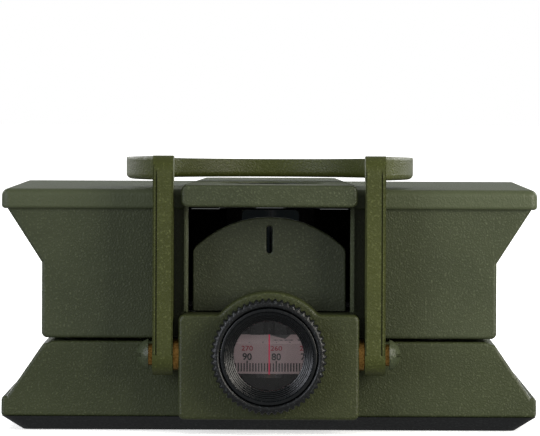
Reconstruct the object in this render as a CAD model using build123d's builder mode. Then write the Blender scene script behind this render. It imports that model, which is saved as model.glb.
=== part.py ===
"""Pocket geology compass with a focusing eyepiece, built as an assembly. Sizes are in millimetres.

The lower case holds the compass capsule, the azimuth ring, a circular level and, underneath, a clinometer.
The upper case is the lid. It carries the front block with the eyepiece, the sight leaf, the mirror, the front
sight and the thumb loop, and it turns about a pin along the rear edge.
+X is to the user's right, +Y runs from the eyepiece to the hinge, +Z is up. The origin is the middle of the
underside.
"""

import os
from math import cos, radians, sin, sqrt

from build123d import *

# ---- outer form of the two cases ------------------------------------------------------------------------
flange_width = 78.0  # across the long straight edges
waist_width = 66.0  # across the parting line
case_depth = 66.0  # front face to rear face
cover_height = 2.1  # black bottom cover
cover_bevel = 3.0  # how far its edge slopes in
cover_corner = 1.5
flange_height = 2.9  # both straight edges
base_top = 13.1  # top deck of the lower case
parting_gap = 0.45
lid_top = 35.3
waist_height = 11.0  # upright part of the lid's side wall
flare_step = 0.8  # flange beyond the foot of the flare
shoulder_width = 1.5  # slope at the top of the lower case's side walls
waist_swell = 0.15  # the lid's side walls stand this far outside the base's upper corners
wall = 1.8
deck = 2.0  # thickness of the deck and of the lid's top plate
edge_round = 0.5
front_round = 0.45  # front and rear edges of the lower case
corner_round = 0.8  # lower corners of the lid's side walls
flange_round = 1.0  # top edges and corners of the lid's flange

flange_half = flange_width / 2
waist_half = waist_width / 2
front_y = -case_depth / 2
rear_y = case_depth / 2
base_bottom = cover_height
base_flange_top = base_bottom + flange_height
lid_bottom = base_top + parting_gap
lid_flange_bottom = lid_top - flange_height
flare_foot = lid_bottom + waist_height
lid_overhang = 0.8  # lid flange beyond the front and rear faces

# ---- hinge ----------------------------------------------------------------------------------------------
band_height = 0.7  # raised band along the middle of the lid
hinge_z = (lid_top + band_height) / 2  # the opened lid then lies level with the base
knuckle_r = 2.6
hinge_pin_r = 1.25
hinge_gap = 0.4  # knuckle to the other case's rear face
hinge_y = rear_y + knuckle_r + hinge_gap
lid_knuckle_half = 13.8
washer_thick = 0.3
side_play = 0.1
base_knuckle_in = lid_knuckle_half + washer_thick + 2 * side_play
base_knuckle_length = 7.0
base_knuckle_out = base_knuckle_in + base_knuckle_length
turn_fit = 0.05  # radial clearance of everything that turns on a pin

# ---- compass capsule ------------------------------------------------------------------------------------
card_r = 18.0
card_rim_height = 3.3
card_rim_wall = 0.7
card_plate = 0.5
optical_z = 11.4  # eyepiece axis above the underside
card_rim_bottom = optical_z - 3.1
card_top = card_rim_bottom + card_rim_height
capsule_wall = 1.2
card_gap = 2.8  # rim to capsule wall
capsule_r = card_r + card_gap + capsule_wall
cup_floor = 1.2
dial_plate = 0.5
clino_space = 0.9
cup_floor_z = cover_height + clino_space + dial_plate
capsule_bottom = cup_floor_z + cup_floor
capsule_floor = 1.2
capsule_glass_thick = 1.2
capsule_top = base_top + 2.7
seat_fit = 0.1
collar_in = capsule_r + seat_fit
collar_wall = 1.9
collar_out = collar_in + collar_wall
screw_circle = (collar_in + collar_out) / 2
pivot_r = 0.45  # card's pin and clinometer's pin
pivot_foot_r = 0.7
pivot_foot = 0.6  # how deep the card's pin is let into the cup
pivot_shoulder = 0.5  # cylinder of the pin ends this far below the jewel
seal_in = 0.35  # seal inside the cup's wall
seal_width = 0.5
seal_depth = 0.4
lubber_width = 0.16
lubber_thick = 0.12
jewel_r = 1.0
jewel_height = 1.6
jewel_drop = 1.4  # jewel's underside below the card's top
jewel_socket = 0.9  # depth of the cone that the pin's tip stands in
jewel_wall = 0.9  # card's wall around the jewel
magnet_length = 25.0
magnet_width = 3.2
magnet_thick = 1.1
retainer_thick = 0.8
retainer_bevel = 0.5
screw_count = 3
screw_start = 30  # degrees
retainer_screw_angles = [screw_start + n * 360 / screw_count for n in range(screw_count)]
retainer_screw_head_r = 0.93
retainer_screw_r = 0.48
retainer_screw_length = 3.4
retainer_hole_r = 0.5
retainer_hole_depth = 4.0
retainer_in = capsule_r - 1.6
retainer_out = collar_out + 1.0
ring_out = 28.0  # azimuth ring
ring_bottom = base_top + 0.3
ring_top = capsule_top + 0.6
ring_step_z = capsule_top - 0.15
ring_play = 0.1
step_play = 0.3
ring_teeth = 60
tooth_r = 0.75  # grips round the azimuth ring
tooth_out = 0.25
ring_bevel = 0.6
spring_length = 12.0
spring_width = 2.2
spring_depth = 0.6
spring_strip = 0.25
spring_tip = (1.6, 2.4)
spring_tip_height = 0.75
spring_gap = 2.0  # collar to the middle of the click spring
view_r = 5.5  # half width of the viewing channel through the lower case

# ---- front block and eyepiece ---------------------------------------------------------------------------
block_half = 13.05
block_top = 17.3
block_depth = 6.7
block_gap = 0.3  # block to the lower case's front face
block_back = front_y - block_gap
block_front = block_back - block_depth
arch_r = 9.25
focus_r = 8.4  # over the scallops
focus_bore = 7.1
focus_head = 3.9
focus_skirt_r = 7.9
focus_skirt = 3.3
focus_teeth = 56
scallop_r = 0.4
skirt_bore = focus_skirt_r + seat_fit
skirt_bore_depth = 3.6
barrel_r = focus_bore - seat_fit
barrel_bore = barrel_r + 0.3
barrel_front = block_front - focus_head + 0.1
barrel_length = 9.2
barrel_rear = barrel_front + barrel_length
lens_r = 5.9
lens_front = barrel_front + 2.6
lens_thick = 2.2
lens_curve = 41.0
aperture_r = 5.0
barrel_mouth_r = 6.2
face_gap = 0.3  # knurled head to the block's face
washer_in = 0.5  # washer inside the skirt's radius
wall_slot_half = 11.8  # opening in the lid's front wall
neck_half = wall_slot_half - 0.2
plate_half = 15.0
plate_thick = 1.8
plate_bottom = lid_bottom + 0.35
block_screw_x = wall_slot_half + 1.9
block_screw_z = block_top - 1.7
block_screw_r = 0.6
block_screw_reach = 1.2  # into the lid's wall
block_screw_head_r = 1.2
block_screw_head = 0.7
block_side_round = 0.9
block_face_round = 0.5

# ---- sight leaf -----------------------------------------------------------------------------------------
leaf_half = 11.2
leaf_thick = 1.2
leaf_front = front_y + 2.0
leaf_bottom = block_top + 0.2
leaf_arc_r = 15.6
leaf_arc_z = 15.6
slit_width = 0.85
slit_bottom = 25.9
slit_top = 29.9
leaf_pin_r = 0.6
leaf_knuckle_r = 1.3
leaf_pin_y = front_y + 4.8
leaf_pin_z = block_top + leaf_knuckle_r
leaf_knuckle_half = 7.2
leaf_lug = 2.0
leaf_play = 0.2  # leaf's knuckle to each lug
leaf_corner = 1.4
leaf_rim = 0.25

# ---- thumb loop -----------------------------------------------------------------------------------------
loop_inner_half = 13.9  # inside of each arm
loop_arm = 2.95  # arm thickness along X
loop_arm_depth = 6.0
line_width = 0.22  # bright lines along the outer front edge of each arm
line_depth = 0.3
pivot_y = block_front + 2.8
pivot_z = optical_z
loop_ring_r = 21.2
loop_ring_width = 4.2
loop_bottom = lid_top + band_height + 0.6
loop_top = 40.3
loop_slope = 1.55  # degrees, the ring thins away from the arms
bush_r = 1.6
bush_gap = 0.6  # brass shown between arm and screw head
screw_shank_r = 1.2
thread_r = 1.0
thread_depth = 3.8
dome_r = 2.25
dome_height = 1.7
loop_outer = loop_inner_half + loop_arm
dome_seat = loop_outer + bush_gap
ring_centre_y = front_y + 12.4
foot_reach = 10.5  # arms run under the ring to this far in front of its middle
ring_round = 0.8
heel_round = 3.2
elbow_round = 1.4
bush_flange_r = 2.3
dome_slot_depth = 0.7

# ---- lid details ----------------------------------------------------------------------------------------
bar_half = 12.75
bar_height = 3.2
bar_reach = 6.0
frame_reach = 2.5
frame_half = 12.35  # half width over the uprights beside the opening
band_rear_half = 10.0
band_rear_y = 24.0
window_r = 8.5
mirror_width = 46.0
mirror_front = 13.2  # lid's front face to the mirror
mirror_thick = 1.2
mirror_corner = 3.0
mirror_back = 6.0  # rear wall to the mirror
mirror_depth = case_depth - mirror_front - mirror_back - wall
window_rim = 1.0  # width of the ring that holds the top window
top_pane = 1.2
ring_sink = 0.2  # that ring below the band's top
sight_frame = 2.4  # frame around the front sight
sight_frame_lip = 0.6
sight_half = 4.5
sight_bottom = hinge_z + 4.8
sight_top = 30.8
wire_r = 0.15

# ---- level, clinometer, screws --------------------------------------------------------------------------
level_r = 4.0
level_at = 22.9
level_bottom = base_top - 4.6
level_top = base_top + 0.9
level_wall = 0.6
level_lip = 0.4  # vial above its cup
level_round = 0.5
clino_window_r = 16.9
clino_window_thick = 1.0
clino_lip = 0.6
clino_lip_r = 15.6
clino_dial_r = 17.6
pendulum_r = 13.0
pendulum_thick = 0.5
pendulum_hub_r = 2.2
pendulum_arm = 1.4
pendulum_bob_r = 3.2
pendulum_bob_up = 4.0  # bob's middle above the foot of the arm
pointer_half = 0.9
pointer_reach = 1.6
cover_screw_x = 28.5
cover_screw_y = 26.5
cover_screw_r = 1.1
cover_screw_head_r = 2.0
cover_screw_length = 6.0
cover_hole_depth = 5.0
cover_screw_sink = 0.05  # head below the cover's face
screw_slot = 0.5
boss_r = 2.6

sides = {"left": -1, "right": 1}

os.makedirs("parts", exist_ok=True)


def half_outline(points):
    """A face on the current sketch from the right half of a symmetrical outline."""
    left = [(-x, z) for x, z in reversed(points) if x > 0]
    Polygon(*points, *left, align=None)


def on_flange_rim(edge):
    """Whether an edge lies on the lower outer rim of the lid's flange."""
    middle = edge.center()
    level = abs(middle.Z - lid_flange_bottom) < 0.01
    past_side = abs(middle.X) > flange_half - flange_round / 2
    past_end = abs(middle.Y) > rear_y + lid_overhang - flange_round / 2
    return level and (past_side or past_end)


# ---- lower case -----------------------------------------------------------------------------------------
with BuildPart() as base_case:
    with BuildSketch(Plane.XZ):
        half_outline(
            [
                (0, base_bottom),
                (flange_half, base_bottom),
                (flange_half, base_flange_top),
                (flange_half - flare_step, base_flange_top),
                (waist_half, base_top - edge_round),
                (waist_half - shoulder_width, base_top),
                (0, base_top),
            ]
        )
    extrude(amount=case_depth / 2, both=True)
    fillet(base_case.edges().filter_by(Axis.Y).group_by(Axis.X)[0], edge_round)
    fillet(base_case.edges().filter_by(Axis.Y).group_by(Axis.X)[-1], edge_round)
    ends = base_case.faces().filter_by(Axis.Y)
    fillet(ends.edges().filter_by_position(Axis.Z, base_bottom + 0.1, base_top), front_round)
    # collar that carries the azimuth ring
    with BuildSketch(Plane.XY.offset(base_bottom)):
        Circle(collar_out)
    extrude(amount=capsule_top - base_bottom)
    # hollow under the deck, around the capsule's cup and the screw bosses
    with BuildSketch(Plane.XY.offset(base_bottom)):
        Rectangle(2 * (waist_half - wall), case_depth - 2 * wall)
        Circle(collar_out, mode=Mode.SUBTRACT)
        with GridLocations(2 * cover_screw_x, 2 * cover_screw_y, 2, 2):
            Circle(boss_r, mode=Mode.SUBTRACT)
    extrude(amount=base_top - deck - base_bottom, mode=Mode.SUBTRACT)
    # capsule seat from above, clinometer chamber from below
    with BuildSketch(Plane.XY.offset(capsule_bottom)):
        Circle(collar_in)
    extrude(amount=capsule_top - capsule_bottom, mode=Mode.SUBTRACT)
    with BuildSketch(Plane.XY.offset(base_bottom)):
        Circle(clino_dial_r + seat_fit)
    extrude(amount=cup_floor_z - base_bottom, mode=Mode.SUBTRACT)
    # viewing channel from the front face to the capsule
    with BuildSketch(Plane.XZ.offset(case_depth / 2)):
        with Locations((0, optical_z)):
            Circle(view_r)
        with Locations((0, (optical_z + base_top) / 2)):
            Rectangle(2 * view_r, base_top - optical_z)
        with Locations((0, base_top + 10)):
            Rectangle(30, 20, mode=Mode.SUBTRACT)
    extrude(amount=-(case_depth / 2 - card_r), mode=Mode.SUBTRACT)
    # level pocket, click spring seat and screw holes
    with Locations((level_at, -level_at, base_top)):
        Hole(level_r, depth=deck)
    with BuildSketch(Plane.XY.offset(base_top)):
        with Locations((-(collar_out + spring_gap), 0)):
            Rectangle(spring_width + 2 * seat_fit, spring_length + 4 * seat_fit)
    extrude(amount=-spring_depth, mode=Mode.SUBTRACT)
    with Locations(Plane.XY.offset(base_bottom)):
        with GridLocations(2 * cover_screw_x, 2 * cover_screw_y, 2, 2):
            Cylinder(
                cover_screw_r,
                cover_hole_depth,
                align=(Align.CENTER, Align.CENTER, Align.MIN),
                mode=Mode.SUBTRACT,
            )
    with Locations(Plane.XY.offset(capsule_top)):
        with PolarLocations(screw_circle, screw_count, start_angle=screw_start):
            Cylinder(
                retainer_hole_r,
                retainer_hole_depth,
                align=(Align.CENTER, Align.CENTER, Align.MAX),
                mode=Mode.SUBTRACT,
            )
    # hinge lugs on the rear face
    for side in (-1, 1):
        lug_start = base_knuckle_in if side > 0 else -base_knuckle_out
        with BuildSketch(Plane.YZ.offset(lug_start)):
            with BuildLine():
                Polyline(
                    (rear_y - 1.0, base_bottom + 4.0),
                    (hinge_y + knuckle_r, base_top - 1.6),
                    (hinge_y + knuckle_r, hinge_z),
                    (hinge_y - knuckle_r, hinge_z),
                    (hinge_y - knuckle_r, base_top - 0.1),
                    (rear_y - 1.0, base_top - 0.1),
                    close=True,
                )
            make_face()
            with Locations((hinge_y, hinge_z)):
                Circle(knuckle_r)
                Circle(hinge_pin_r, mode=Mode.SUBTRACT)
        extrude(amount=base_knuckle_length)
base_case.part.label = "base_case"
export_step(base_case.part, "parts/base_case.step")

with BuildPart() as bottom_cover:
    with BuildSketch(Plane.XY):
        RectangleRounded(flange_width - 2 * cover_bevel, case_depth - 2 * cover_bevel, cover_corner)
    with BuildSketch(Plane.XY.offset(cover_height)):
        RectangleRounded(flange_width, case_depth, cover_corner)
    loft()
    with BuildSketch(Plane.XY):
        Circle(clino_lip_r)
    extrude(amount=cover_height, mode=Mode.SUBTRACT)
    with BuildSketch(Plane.XY.offset(clino_lip)):
        Circle(clino_window_r + seat_fit)
    extrude(amount=cover_height, mode=Mode.SUBTRACT)
    with Locations(Plane.XY.rotated((180, 0, 0))):
        with GridLocations(2 * cover_screw_x, 2 * cover_screw_y, 2, 2):
            CounterSinkHole(cover_screw_r + seat_fit, cover_screw_head_r + seat_fit, depth=cover_height)
bottom_cover.part.label = "bottom_cover"
export_step(bottom_cover.part, "parts/bottom_cover.step")


def countersunk_screw(head_r, shank_r, length, slot):
    """A slotted flush screw with its head at local z = 0 and its shank along local -Z."""
    head_depth = head_r - shank_r
    Cone(shank_r, head_r, head_depth, align=(Align.CENTER, Align.CENTER, Align.MAX))
    Cylinder(shank_r, length, align=(Align.CENTER, Align.CENTER, Align.MAX))
    Box(
        2.4 * head_r,
        slot,
        head_depth * 0.5,
        align=(Align.CENTER, Align.CENTER, Align.MAX),
        mode=Mode.SUBTRACT,
    )


cover_corners = [(x, y) for x in (-cover_screw_x, cover_screw_x) for y in (-cover_screw_y, cover_screw_y)]
for number, (x, y) in enumerate(cover_corners, start=1):
    screw_plane = Plane(origin=(x, y, cover_screw_sink), x_dir=(1, 0, 0), z_dir=(0, 0, -1))
    with BuildPart(screw_plane) as bottom_cover_screw:
        countersunk_screw(cover_screw_head_r, cover_screw_r, cover_screw_length, screw_slot)
    bottom_cover_screw.part.label = f"bottom_cover_screw_{number}"
    export_step(bottom_cover_screw.part, f"parts/bottom_cover_screw_{number}.step")

# ---- clinometer -----------------------------------------------------------------------------------------
with BuildPart() as clinometer_window:
    with BuildSketch(Plane.XY.offset(clino_lip)):
        Circle(clino_window_r)
    extrude(amount=clino_window_thick)
    with BuildSketch(Plane.XY):
        Circle(clino_lip_r - seat_fit)
    extrude(amount=clino_lip)
clinometer_window.part.label = "clinometer_window"
export_step(clinometer_window.part, "parts/clinometer_window.step")

with BuildPart() as clinometer_dial:
    with BuildSketch(Plane.XY.offset(cup_floor_z - dial_plate)):
        Circle(clino_dial_r)
        Circle(pivot_r + turn_fit, mode=Mode.SUBTRACT)
    extrude(amount=dial_plate)
clinometer_dial.part.label = "clinometer_dial"
export_step(clinometer_dial.part, "parts/clinometer_dial.step")

pendulum_z = (clino_lip + clino_window_thick + cup_floor_z - dial_plate - pendulum_thick) / 2
with BuildPart() as clinometer_pin:
    with BuildSketch(Plane.XY.offset(clino_lip + clino_window_thick)):
        Circle(pivot_r)
    extrude(amount=cup_floor_z - clino_lip - clino_window_thick)
clinometer_pin.part.label = "clinometer_pin"
export_step(clinometer_pin.part, "parts/clinometer_pin.step")

with BuildPart() as clinometer_pendulum:
    with BuildSketch(Plane.XY.offset(pendulum_z)):
        Circle(pendulum_hub_r)
        with Locations((0, -pendulum_r / 2)):
            Rectangle(pendulum_arm, pendulum_r)
        with Locations((0, -pendulum_r + pendulum_bob_up)):
            Circle(pendulum_bob_r)
        with BuildLine():
            Polyline(
                (-pointer_half, -pendulum_r + 1),
                (0, -pendulum_r - pointer_reach),
                (pointer_half, -pendulum_r + 1),
                close=True,
            )
        make_face()
        Circle(pivot_r + turn_fit, mode=Mode.SUBTRACT)
    extrude(amount=pendulum_thick)
clinometer_pendulum.part.label = "clinometer_pendulum"
export_step(clinometer_pendulum.part, "parts/clinometer_pendulum.step")

# ---- capsule and card -----------------------------------------------------------------------------------
capsule_inside = capsule_r - capsule_wall
cup_top = capsule_top - capsule_glass_thick
with BuildPart() as capsule_cup:
    with BuildSketch(Plane.XY.offset(capsule_bottom)):
        Circle(capsule_r)
    extrude(amount=cup_top - capsule_bottom)
    with BuildSketch(Plane.XY.offset(capsule_bottom + capsule_floor)):
        Circle(capsule_inside)
    extrude(amount=cup_top - capsule_bottom, mode=Mode.SUBTRACT)
    with BuildSketch(Plane.XY.offset(capsule_bottom + capsule_floor - pivot_foot)):
        Circle(pivot_foot_r)
    extrude(amount=pivot_foot, mode=Mode.SUBTRACT)
    # groove for the seal
    with BuildSketch(Plane.XY.offset(cup_top - seal_depth)):
        Circle(capsule_inside + seal_in + seal_width)
        Circle(capsule_inside + seal_in, mode=Mode.SUBTRACT)
    extrude(amount=seal_depth, mode=Mode.SUBTRACT)
capsule_cup.part.label = "capsule_cup"
export_step(capsule_cup.part, "parts/capsule_cup.step")

with BuildPart() as capsule_seal:
    with BuildSketch(Plane.XY.offset(cup_top - seal_depth)):
        Circle(capsule_inside + seal_in + seal_width)
        Circle(capsule_inside + seal_in, mode=Mode.SUBTRACT)
    extrude(amount=seal_depth)
capsule_seal.part.label = "capsule_seal"
export_step(capsule_seal.part, "parts/capsule_seal.step")

with BuildPart() as capsule_glass:
    with BuildSketch(Plane.XY.offset(cup_top)):
        Circle(capsule_r)
    extrude(amount=capsule_glass_thick)
capsule_glass.part.label = "capsule_glass"
export_step(capsule_glass.part, "parts/capsule_glass.step")

with BuildPart() as lubber_line:
    with BuildSketch(Plane.XZ.offset(capsule_inside - lubber_thick)):
        with Locations((0, (card_rim_bottom + cup_top) / 2)):
            Rectangle(lubber_width, cup_top - card_rim_bottom)
    extrude(amount=lubber_thick)
lubber_line.part.label = "lubber_line"
export_step(lubber_line.part, "parts/lubber_line.step")

jewel_bottom = card_top - jewel_drop
with BuildPart() as compass_card:
    with BuildSketch(Plane.XY.offset(card_rim_bottom)):
        Circle(card_r)
        Circle(card_r - card_rim_wall, mode=Mode.SUBTRACT)
    extrude(amount=card_rim_height)
    with BuildSketch(Plane.XY.offset(card_top - card_plate)):
        Circle(card_r - card_rim_wall)
    extrude(amount=card_plate)
    with BuildSketch(Plane.XY.offset(jewel_bottom)):
        Circle(jewel_r + jewel_wall)
    extrude(amount=jewel_height)
    with BuildSketch(Plane.XY.offset(jewel_bottom)):
        Circle(jewel_r)
    extrude(amount=jewel_height, mode=Mode.SUBTRACT)
compass_card.part.label = "compass_card"
export_step(compass_card.part, "parts/compass_card.step")

pin_tip_z = jewel_bottom + jewel_socket
with BuildPart() as card_jewel:
    with BuildSketch(Plane.XY.offset(jewel_bottom)):
        Circle(jewel_r)
    extrude(amount=jewel_height)
    with Locations((0, 0, jewel_bottom)):
        Cone(
            0.7,
            0.15,
            pin_tip_z - jewel_bottom,
            align=(Align.CENTER, Align.CENTER, Align.MIN),
            mode=Mode.SUBTRACT,
        )
card_jewel.part.label = "card_jewel"
export_step(card_jewel.part, "parts/card_jewel.step")

with BuildPart() as card_pivot_pin:
    with BuildSketch(Plane.XY.offset(capsule_bottom + capsule_floor - pivot_foot)):
        Circle(pivot_foot_r)
    extrude(amount=pivot_foot)
    with BuildSketch(Plane.XY.offset(capsule_bottom + capsule_floor)):
        Circle(pivot_r)
    extrude(amount=jewel_bottom - pivot_shoulder - capsule_bottom - capsule_floor)
    with Locations((0, 0, jewel_bottom - pivot_shoulder)):
        Cone(pivot_r, 0.06, pin_tip_z - jewel_bottom + 0.45, align=(Align.CENTER, Align.CENTER, Align.MIN))
card_pivot_pin.part.label = "card_pivot_pin"
export_step(card_pivot_pin.part, "parts/card_pivot_pin.step")

for name, side in sides.items():
    with BuildPart() as card_magnet:
        with BuildSketch(Plane.XY.offset(card_top - card_plate - magnet_thick)):
            with Locations((side * (jewel_r + jewel_wall + magnet_width / 2), 0)):
                RectangleRounded(magnet_width, magnet_length, 0.6)
        extrude(amount=magnet_thick)
    card_magnet.part.label = f"card_magnet_{name}"
    export_step(card_magnet.part, f"parts/card_magnet_{name}.step")

with BuildPart() as capsule_retainer:
    with BuildSketch(Plane.XY.offset(capsule_top)):
        Circle(retainer_out)
        Circle(retainer_in, mode=Mode.SUBTRACT)
    extrude(amount=retainer_thick)
    upper_rims = capsule_retainer.edges().filter_by(GeomType.CIRCLE).group_by(Axis.Z)[-1]
    chamfer(upper_rims.sort_by(SortBy.RADIUS)[0], retainer_bevel)
    with Locations(Plane.XY.offset(capsule_top + retainer_thick)):
        with PolarLocations(screw_circle, screw_count, start_angle=screw_start):
            CounterSinkHole(0.55, 1.0, depth=retainer_thick)
capsule_retainer.part.label = "capsule_retainer"
export_step(capsule_retainer.part, "parts/capsule_retainer.step")

for number, angle in enumerate(retainer_screw_angles, start=1):
    screw_x = screw_circle * cos(radians(angle))
    screw_y = screw_circle * sin(radians(angle))
    screw_plane = Plane(origin=(screw_x, screw_y, capsule_top + retainer_thick - 0.02), z_dir=(0, 0, 1))
    with BuildPart(screw_plane) as retainer_screw:
        countersunk_screw(retainer_screw_head_r, retainer_screw_r, retainer_screw_length, 0.25)
    retainer_screw.part.label = f"retainer_screw_{number}"
    export_step(retainer_screw.part, f"parts/retainer_screw_{number}.step")

# ---- azimuth ring ---------------------------------------------------------------------------------------
with BuildPart() as azimuth_ring:
    with BuildSketch(Plane.XY.offset(ring_bottom)):
        Circle(ring_out)
        Circle(collar_out + ring_play, mode=Mode.SUBTRACT)
    extrude(amount=ring_top - ring_bottom)
    with BuildSketch(Plane.XY.offset(ring_step_z)):
        Circle(retainer_out + step_play)
    extrude(amount=ring_top - ring_step_z, mode=Mode.SUBTRACT)
    top_circles = azimuth_ring.edges().filter_by(GeomType.CIRCLE).group_by(Axis.Z)[-1]
    chamfer(top_circles.sort_by(SortBy.RADIUS)[-1], ring_bevel)
    with BuildSketch(Plane.XY.offset(ring_bottom)):
        with PolarLocations(ring_out + tooth_out, ring_teeth):
            Circle(tooth_r)
    extrude(amount=ring_top - ring_bottom, mode=Mode.SUBTRACT)
azimuth_ring.part.label = "azimuth_ring"
export_step(azimuth_ring.part, "parts/azimuth_ring.step")

with BuildPart() as click_spring:
    with BuildSketch(Plane.XY.offset(base_top - spring_depth)):
        with Locations((-(collar_out + spring_gap), 0)):
            Rectangle(spring_width, spring_length)
    extrude(amount=spring_strip)
    with BuildSketch(Plane.XY.offset(base_top - spring_depth)):
        with Locations((-(collar_out + spring_gap), 0)):
            Rectangle(*spring_tip)
    extrude(amount=spring_tip_height)
click_spring.part.label = "click_spring"
export_step(click_spring.part, "parts/click_spring.step")

# ---- circular level -------------------------------------------------------------------------------------
with BuildPart() as level_cup:
    with BuildSketch(Plane.XY.offset(level_bottom)):
        with Locations((level_at, -level_at)):
            Circle(level_r)
    extrude(amount=level_top - level_lip - level_bottom)
    with BuildSketch(Plane.XY.offset(level_bottom + level_wall)):
        with Locations((level_at, -level_at)):
            Circle(level_r - level_wall)
    extrude(amount=level_top - level_bottom, mode=Mode.SUBTRACT)
level_cup.part.label = "level_cup"
export_step(level_cup.part, "parts/level_cup.step")

with BuildPart() as level_vial:
    with BuildSketch(Plane.XY.offset(level_bottom + level_wall)):
        with Locations((level_at, -level_at)):
            Circle(level_r - level_wall)
    extrude(amount=level_top - level_bottom - level_wall)
    fillet(level_vial.edges().group_by(Axis.Z)[-1], level_round)
level_vial.part.label = "level_vial"
export_step(level_vial.part, "parts/level_vial.step")

# ---- hinge ----------------------------------------------------------------------------------------------
with BuildPart() as hinge_pin:
    with BuildSketch(Plane.YZ.offset(-base_knuckle_out)):
        with Locations((hinge_y, hinge_z)):
            Circle(hinge_pin_r)
    extrude(amount=2 * base_knuckle_out)
hinge_pin.part.label = "hinge_pin"
export_step(hinge_pin.part, "parts/hinge_pin.step")

for name, side in sides.items():
    with BuildPart() as hinge_washer:
        with BuildSketch(Plane.YZ.offset(side * (lid_knuckle_half + side_play))):
            with Locations((hinge_y, hinge_z)):
                Circle(knuckle_r - 0.2)
                Circle(hinge_pin_r, mode=Mode.SUBTRACT)
        extrude(amount=side * washer_thick)
    hinge_washer.part.label = f"hinge_washer_{name}"
    export_step(hinge_washer.part, f"parts/hinge_washer_{name}.step")

# ---- upper case -----------------------------------------------------------------------------------------
inner_waist = waist_half - wall
inner_flare = flange_half - flare_step - wall - 1.2
lid_ceiling = lid_top - deck
with BuildPart() as lid_case:
    with BuildSketch(Plane.XZ):
        half_outline(
            [
                (0, lid_bottom),
                (waist_half + waist_swell, lid_bottom),
                (waist_half + waist_swell, flare_foot),
                (flange_half - flare_step, lid_flange_bottom),
                (flange_half - flare_step, lid_top - 1.0),
                (0, lid_top - 1.0),
            ]
        )
    extrude(amount=case_depth / 2, both=True)
    lower_corners = lid_case.edges().filter_by(Axis.Y).group_by(Axis.Z)[0]
    fillet(lower_corners, corner_round)
    ends = lid_case.faces().filter_by(Axis.Y)
    fillet(ends.edges().filter_by_position(Axis.Z, lid_bottom - 0.1, lid_flange_bottom - 1.0), edge_round)
    with BuildSketch(Plane.XY.offset(lid_flange_bottom)):
        RectangleRounded(flange_width, case_depth + 2 * lid_overhang, flange_round)
    extrude(amount=flange_height)
    rims = lid_case.faces().filter_by(Axis.Z).group_by(Axis.Z)
    fillet(rims[-1].edges(), flange_round)
    fillet(lid_case.edges().filter_by(on_flange_rim), edge_round)
    # front frame around the sight opening, and the bar above it
    with BuildSketch(Plane.XZ.offset(-front_y)):
        with Locations((0, (block_top + 0.25 + lid_flange_bottom + 1.0) / 2)):
            Rectangle(2 * frame_half, lid_flange_bottom + 1.0 - block_top - 0.25)
    extrude(amount=frame_reach)
    with BuildSketch(Plane.XZ.offset(-front_y - 1.0)):
        with Locations((0, lid_top + band_height - bar_height / 2)):
            RectangleRounded(2 * bar_half, bar_height, 0.9)
    extrude(amount=bar_reach + 1.0)
    fillet(lid_case.faces().sort_by(Axis.Y)[0].edges(), 0.45)
    # raised band along the top
    with BuildSketch(Plane.XY.offset(lid_top - 0.5)):
        with BuildLine():
            Polyline(
                (-bar_half + 0.45, front_y - bar_reach + 2.0),
                (bar_half - 0.45, front_y - bar_reach + 2.0),
                (band_rear_half, band_rear_y),
                (-band_rear_half, band_rear_y),
                close=True,
            )
        make_face()
        fillet(vertices().group_by(Axis.Y)[-1], 2.0)
    extrude(amount=band_height + 0.5)
    # hollow inside
    with BuildSketch(Plane.XZ):
        half_outline(
            [
                (0, lid_bottom - 1.0),
                (inner_waist, lid_bottom - 1.0),
                (inner_waist, flare_foot + 1.0),
                (inner_flare, lid_flange_bottom - 0.6),
                (inner_flare, lid_ceiling),
                (0, lid_ceiling),
            ]
        )
    extrude(amount=case_depth / 2 - wall, both=True, mode=Mode.SUBTRACT)
    # opening in the front wall, window in the top, front sight in the rear wall
    opening_top = lid_top + band_height - bar_height
    with BuildSketch(Plane.XZ.offset(-front_y - wall - 0.5)):
        with Locations((0, (lid_bottom - 1.0 + opening_top) / 2)):
            Rectangle(2 * wall_slot_half, opening_top - lid_bottom + 1.0)
    extrude(amount=frame_reach + wall + 1.0, mode=Mode.SUBTRACT)
    with BuildSketch(Plane.XY.offset(lid_ceiling)):
        with Locations((0, ring_centre_y)):
            Circle(window_r)
    extrude(amount=deck + band_height, mode=Mode.SUBTRACT)
    with BuildSketch(Plane.XZ.offset(-rear_y + wall + 0.5)):
        with Locations((0, (sight_bottom + sight_top) / 2)):
            RectangleRounded(2 * sight_half, sight_top - sight_bottom, 0.8)
    extrude(amount=-(wall + 2.0), mode=Mode.SUBTRACT)
    frame_front = front_y - frame_reach
    upright_edges = lid_case.edges().filter_by(Axis.Z)
    frame_edges = upright_edges.filter_by_position(Axis.Y, frame_front - 0.01, frame_front + 0.01)
    chamfer(frame_edges.filter_by_position(Axis.X, -wall_slot_half - 0.01, wall_slot_half + 0.01), 0.3)
    # tapped holes for the block screws
    for side in (-1, 1):
        with BuildSketch(Plane.XZ.offset(-front_y - wall)):
            with Locations((side * block_screw_x, block_screw_z)):
                Circle(block_screw_r)
        extrude(amount=block_screw_reach, mode=Mode.SUBTRACT)
    # hinge knuckle
    with BuildSketch(Plane.YZ.offset(-lid_knuckle_half)):
        with BuildLine():
            Polyline(
                (rear_y - 1.0, lid_bottom + 1.2),
                (hinge_y, hinge_z - knuckle_r),
                (hinge_y, hinge_z + knuckle_r),
                (rear_y - 1.0, hinge_z + knuckle_r + 1.4),
                close=True,
            )
        make_face()
        with Locations((hinge_y, hinge_z)):
            Circle(knuckle_r)
            Circle(hinge_pin_r + turn_fit, mode=Mode.SUBTRACT)
    extrude(amount=2 * lid_knuckle_half)
lid_case.part.label = "lid_case"
export_step(lid_case.part, "parts/lid_case.step")

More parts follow.
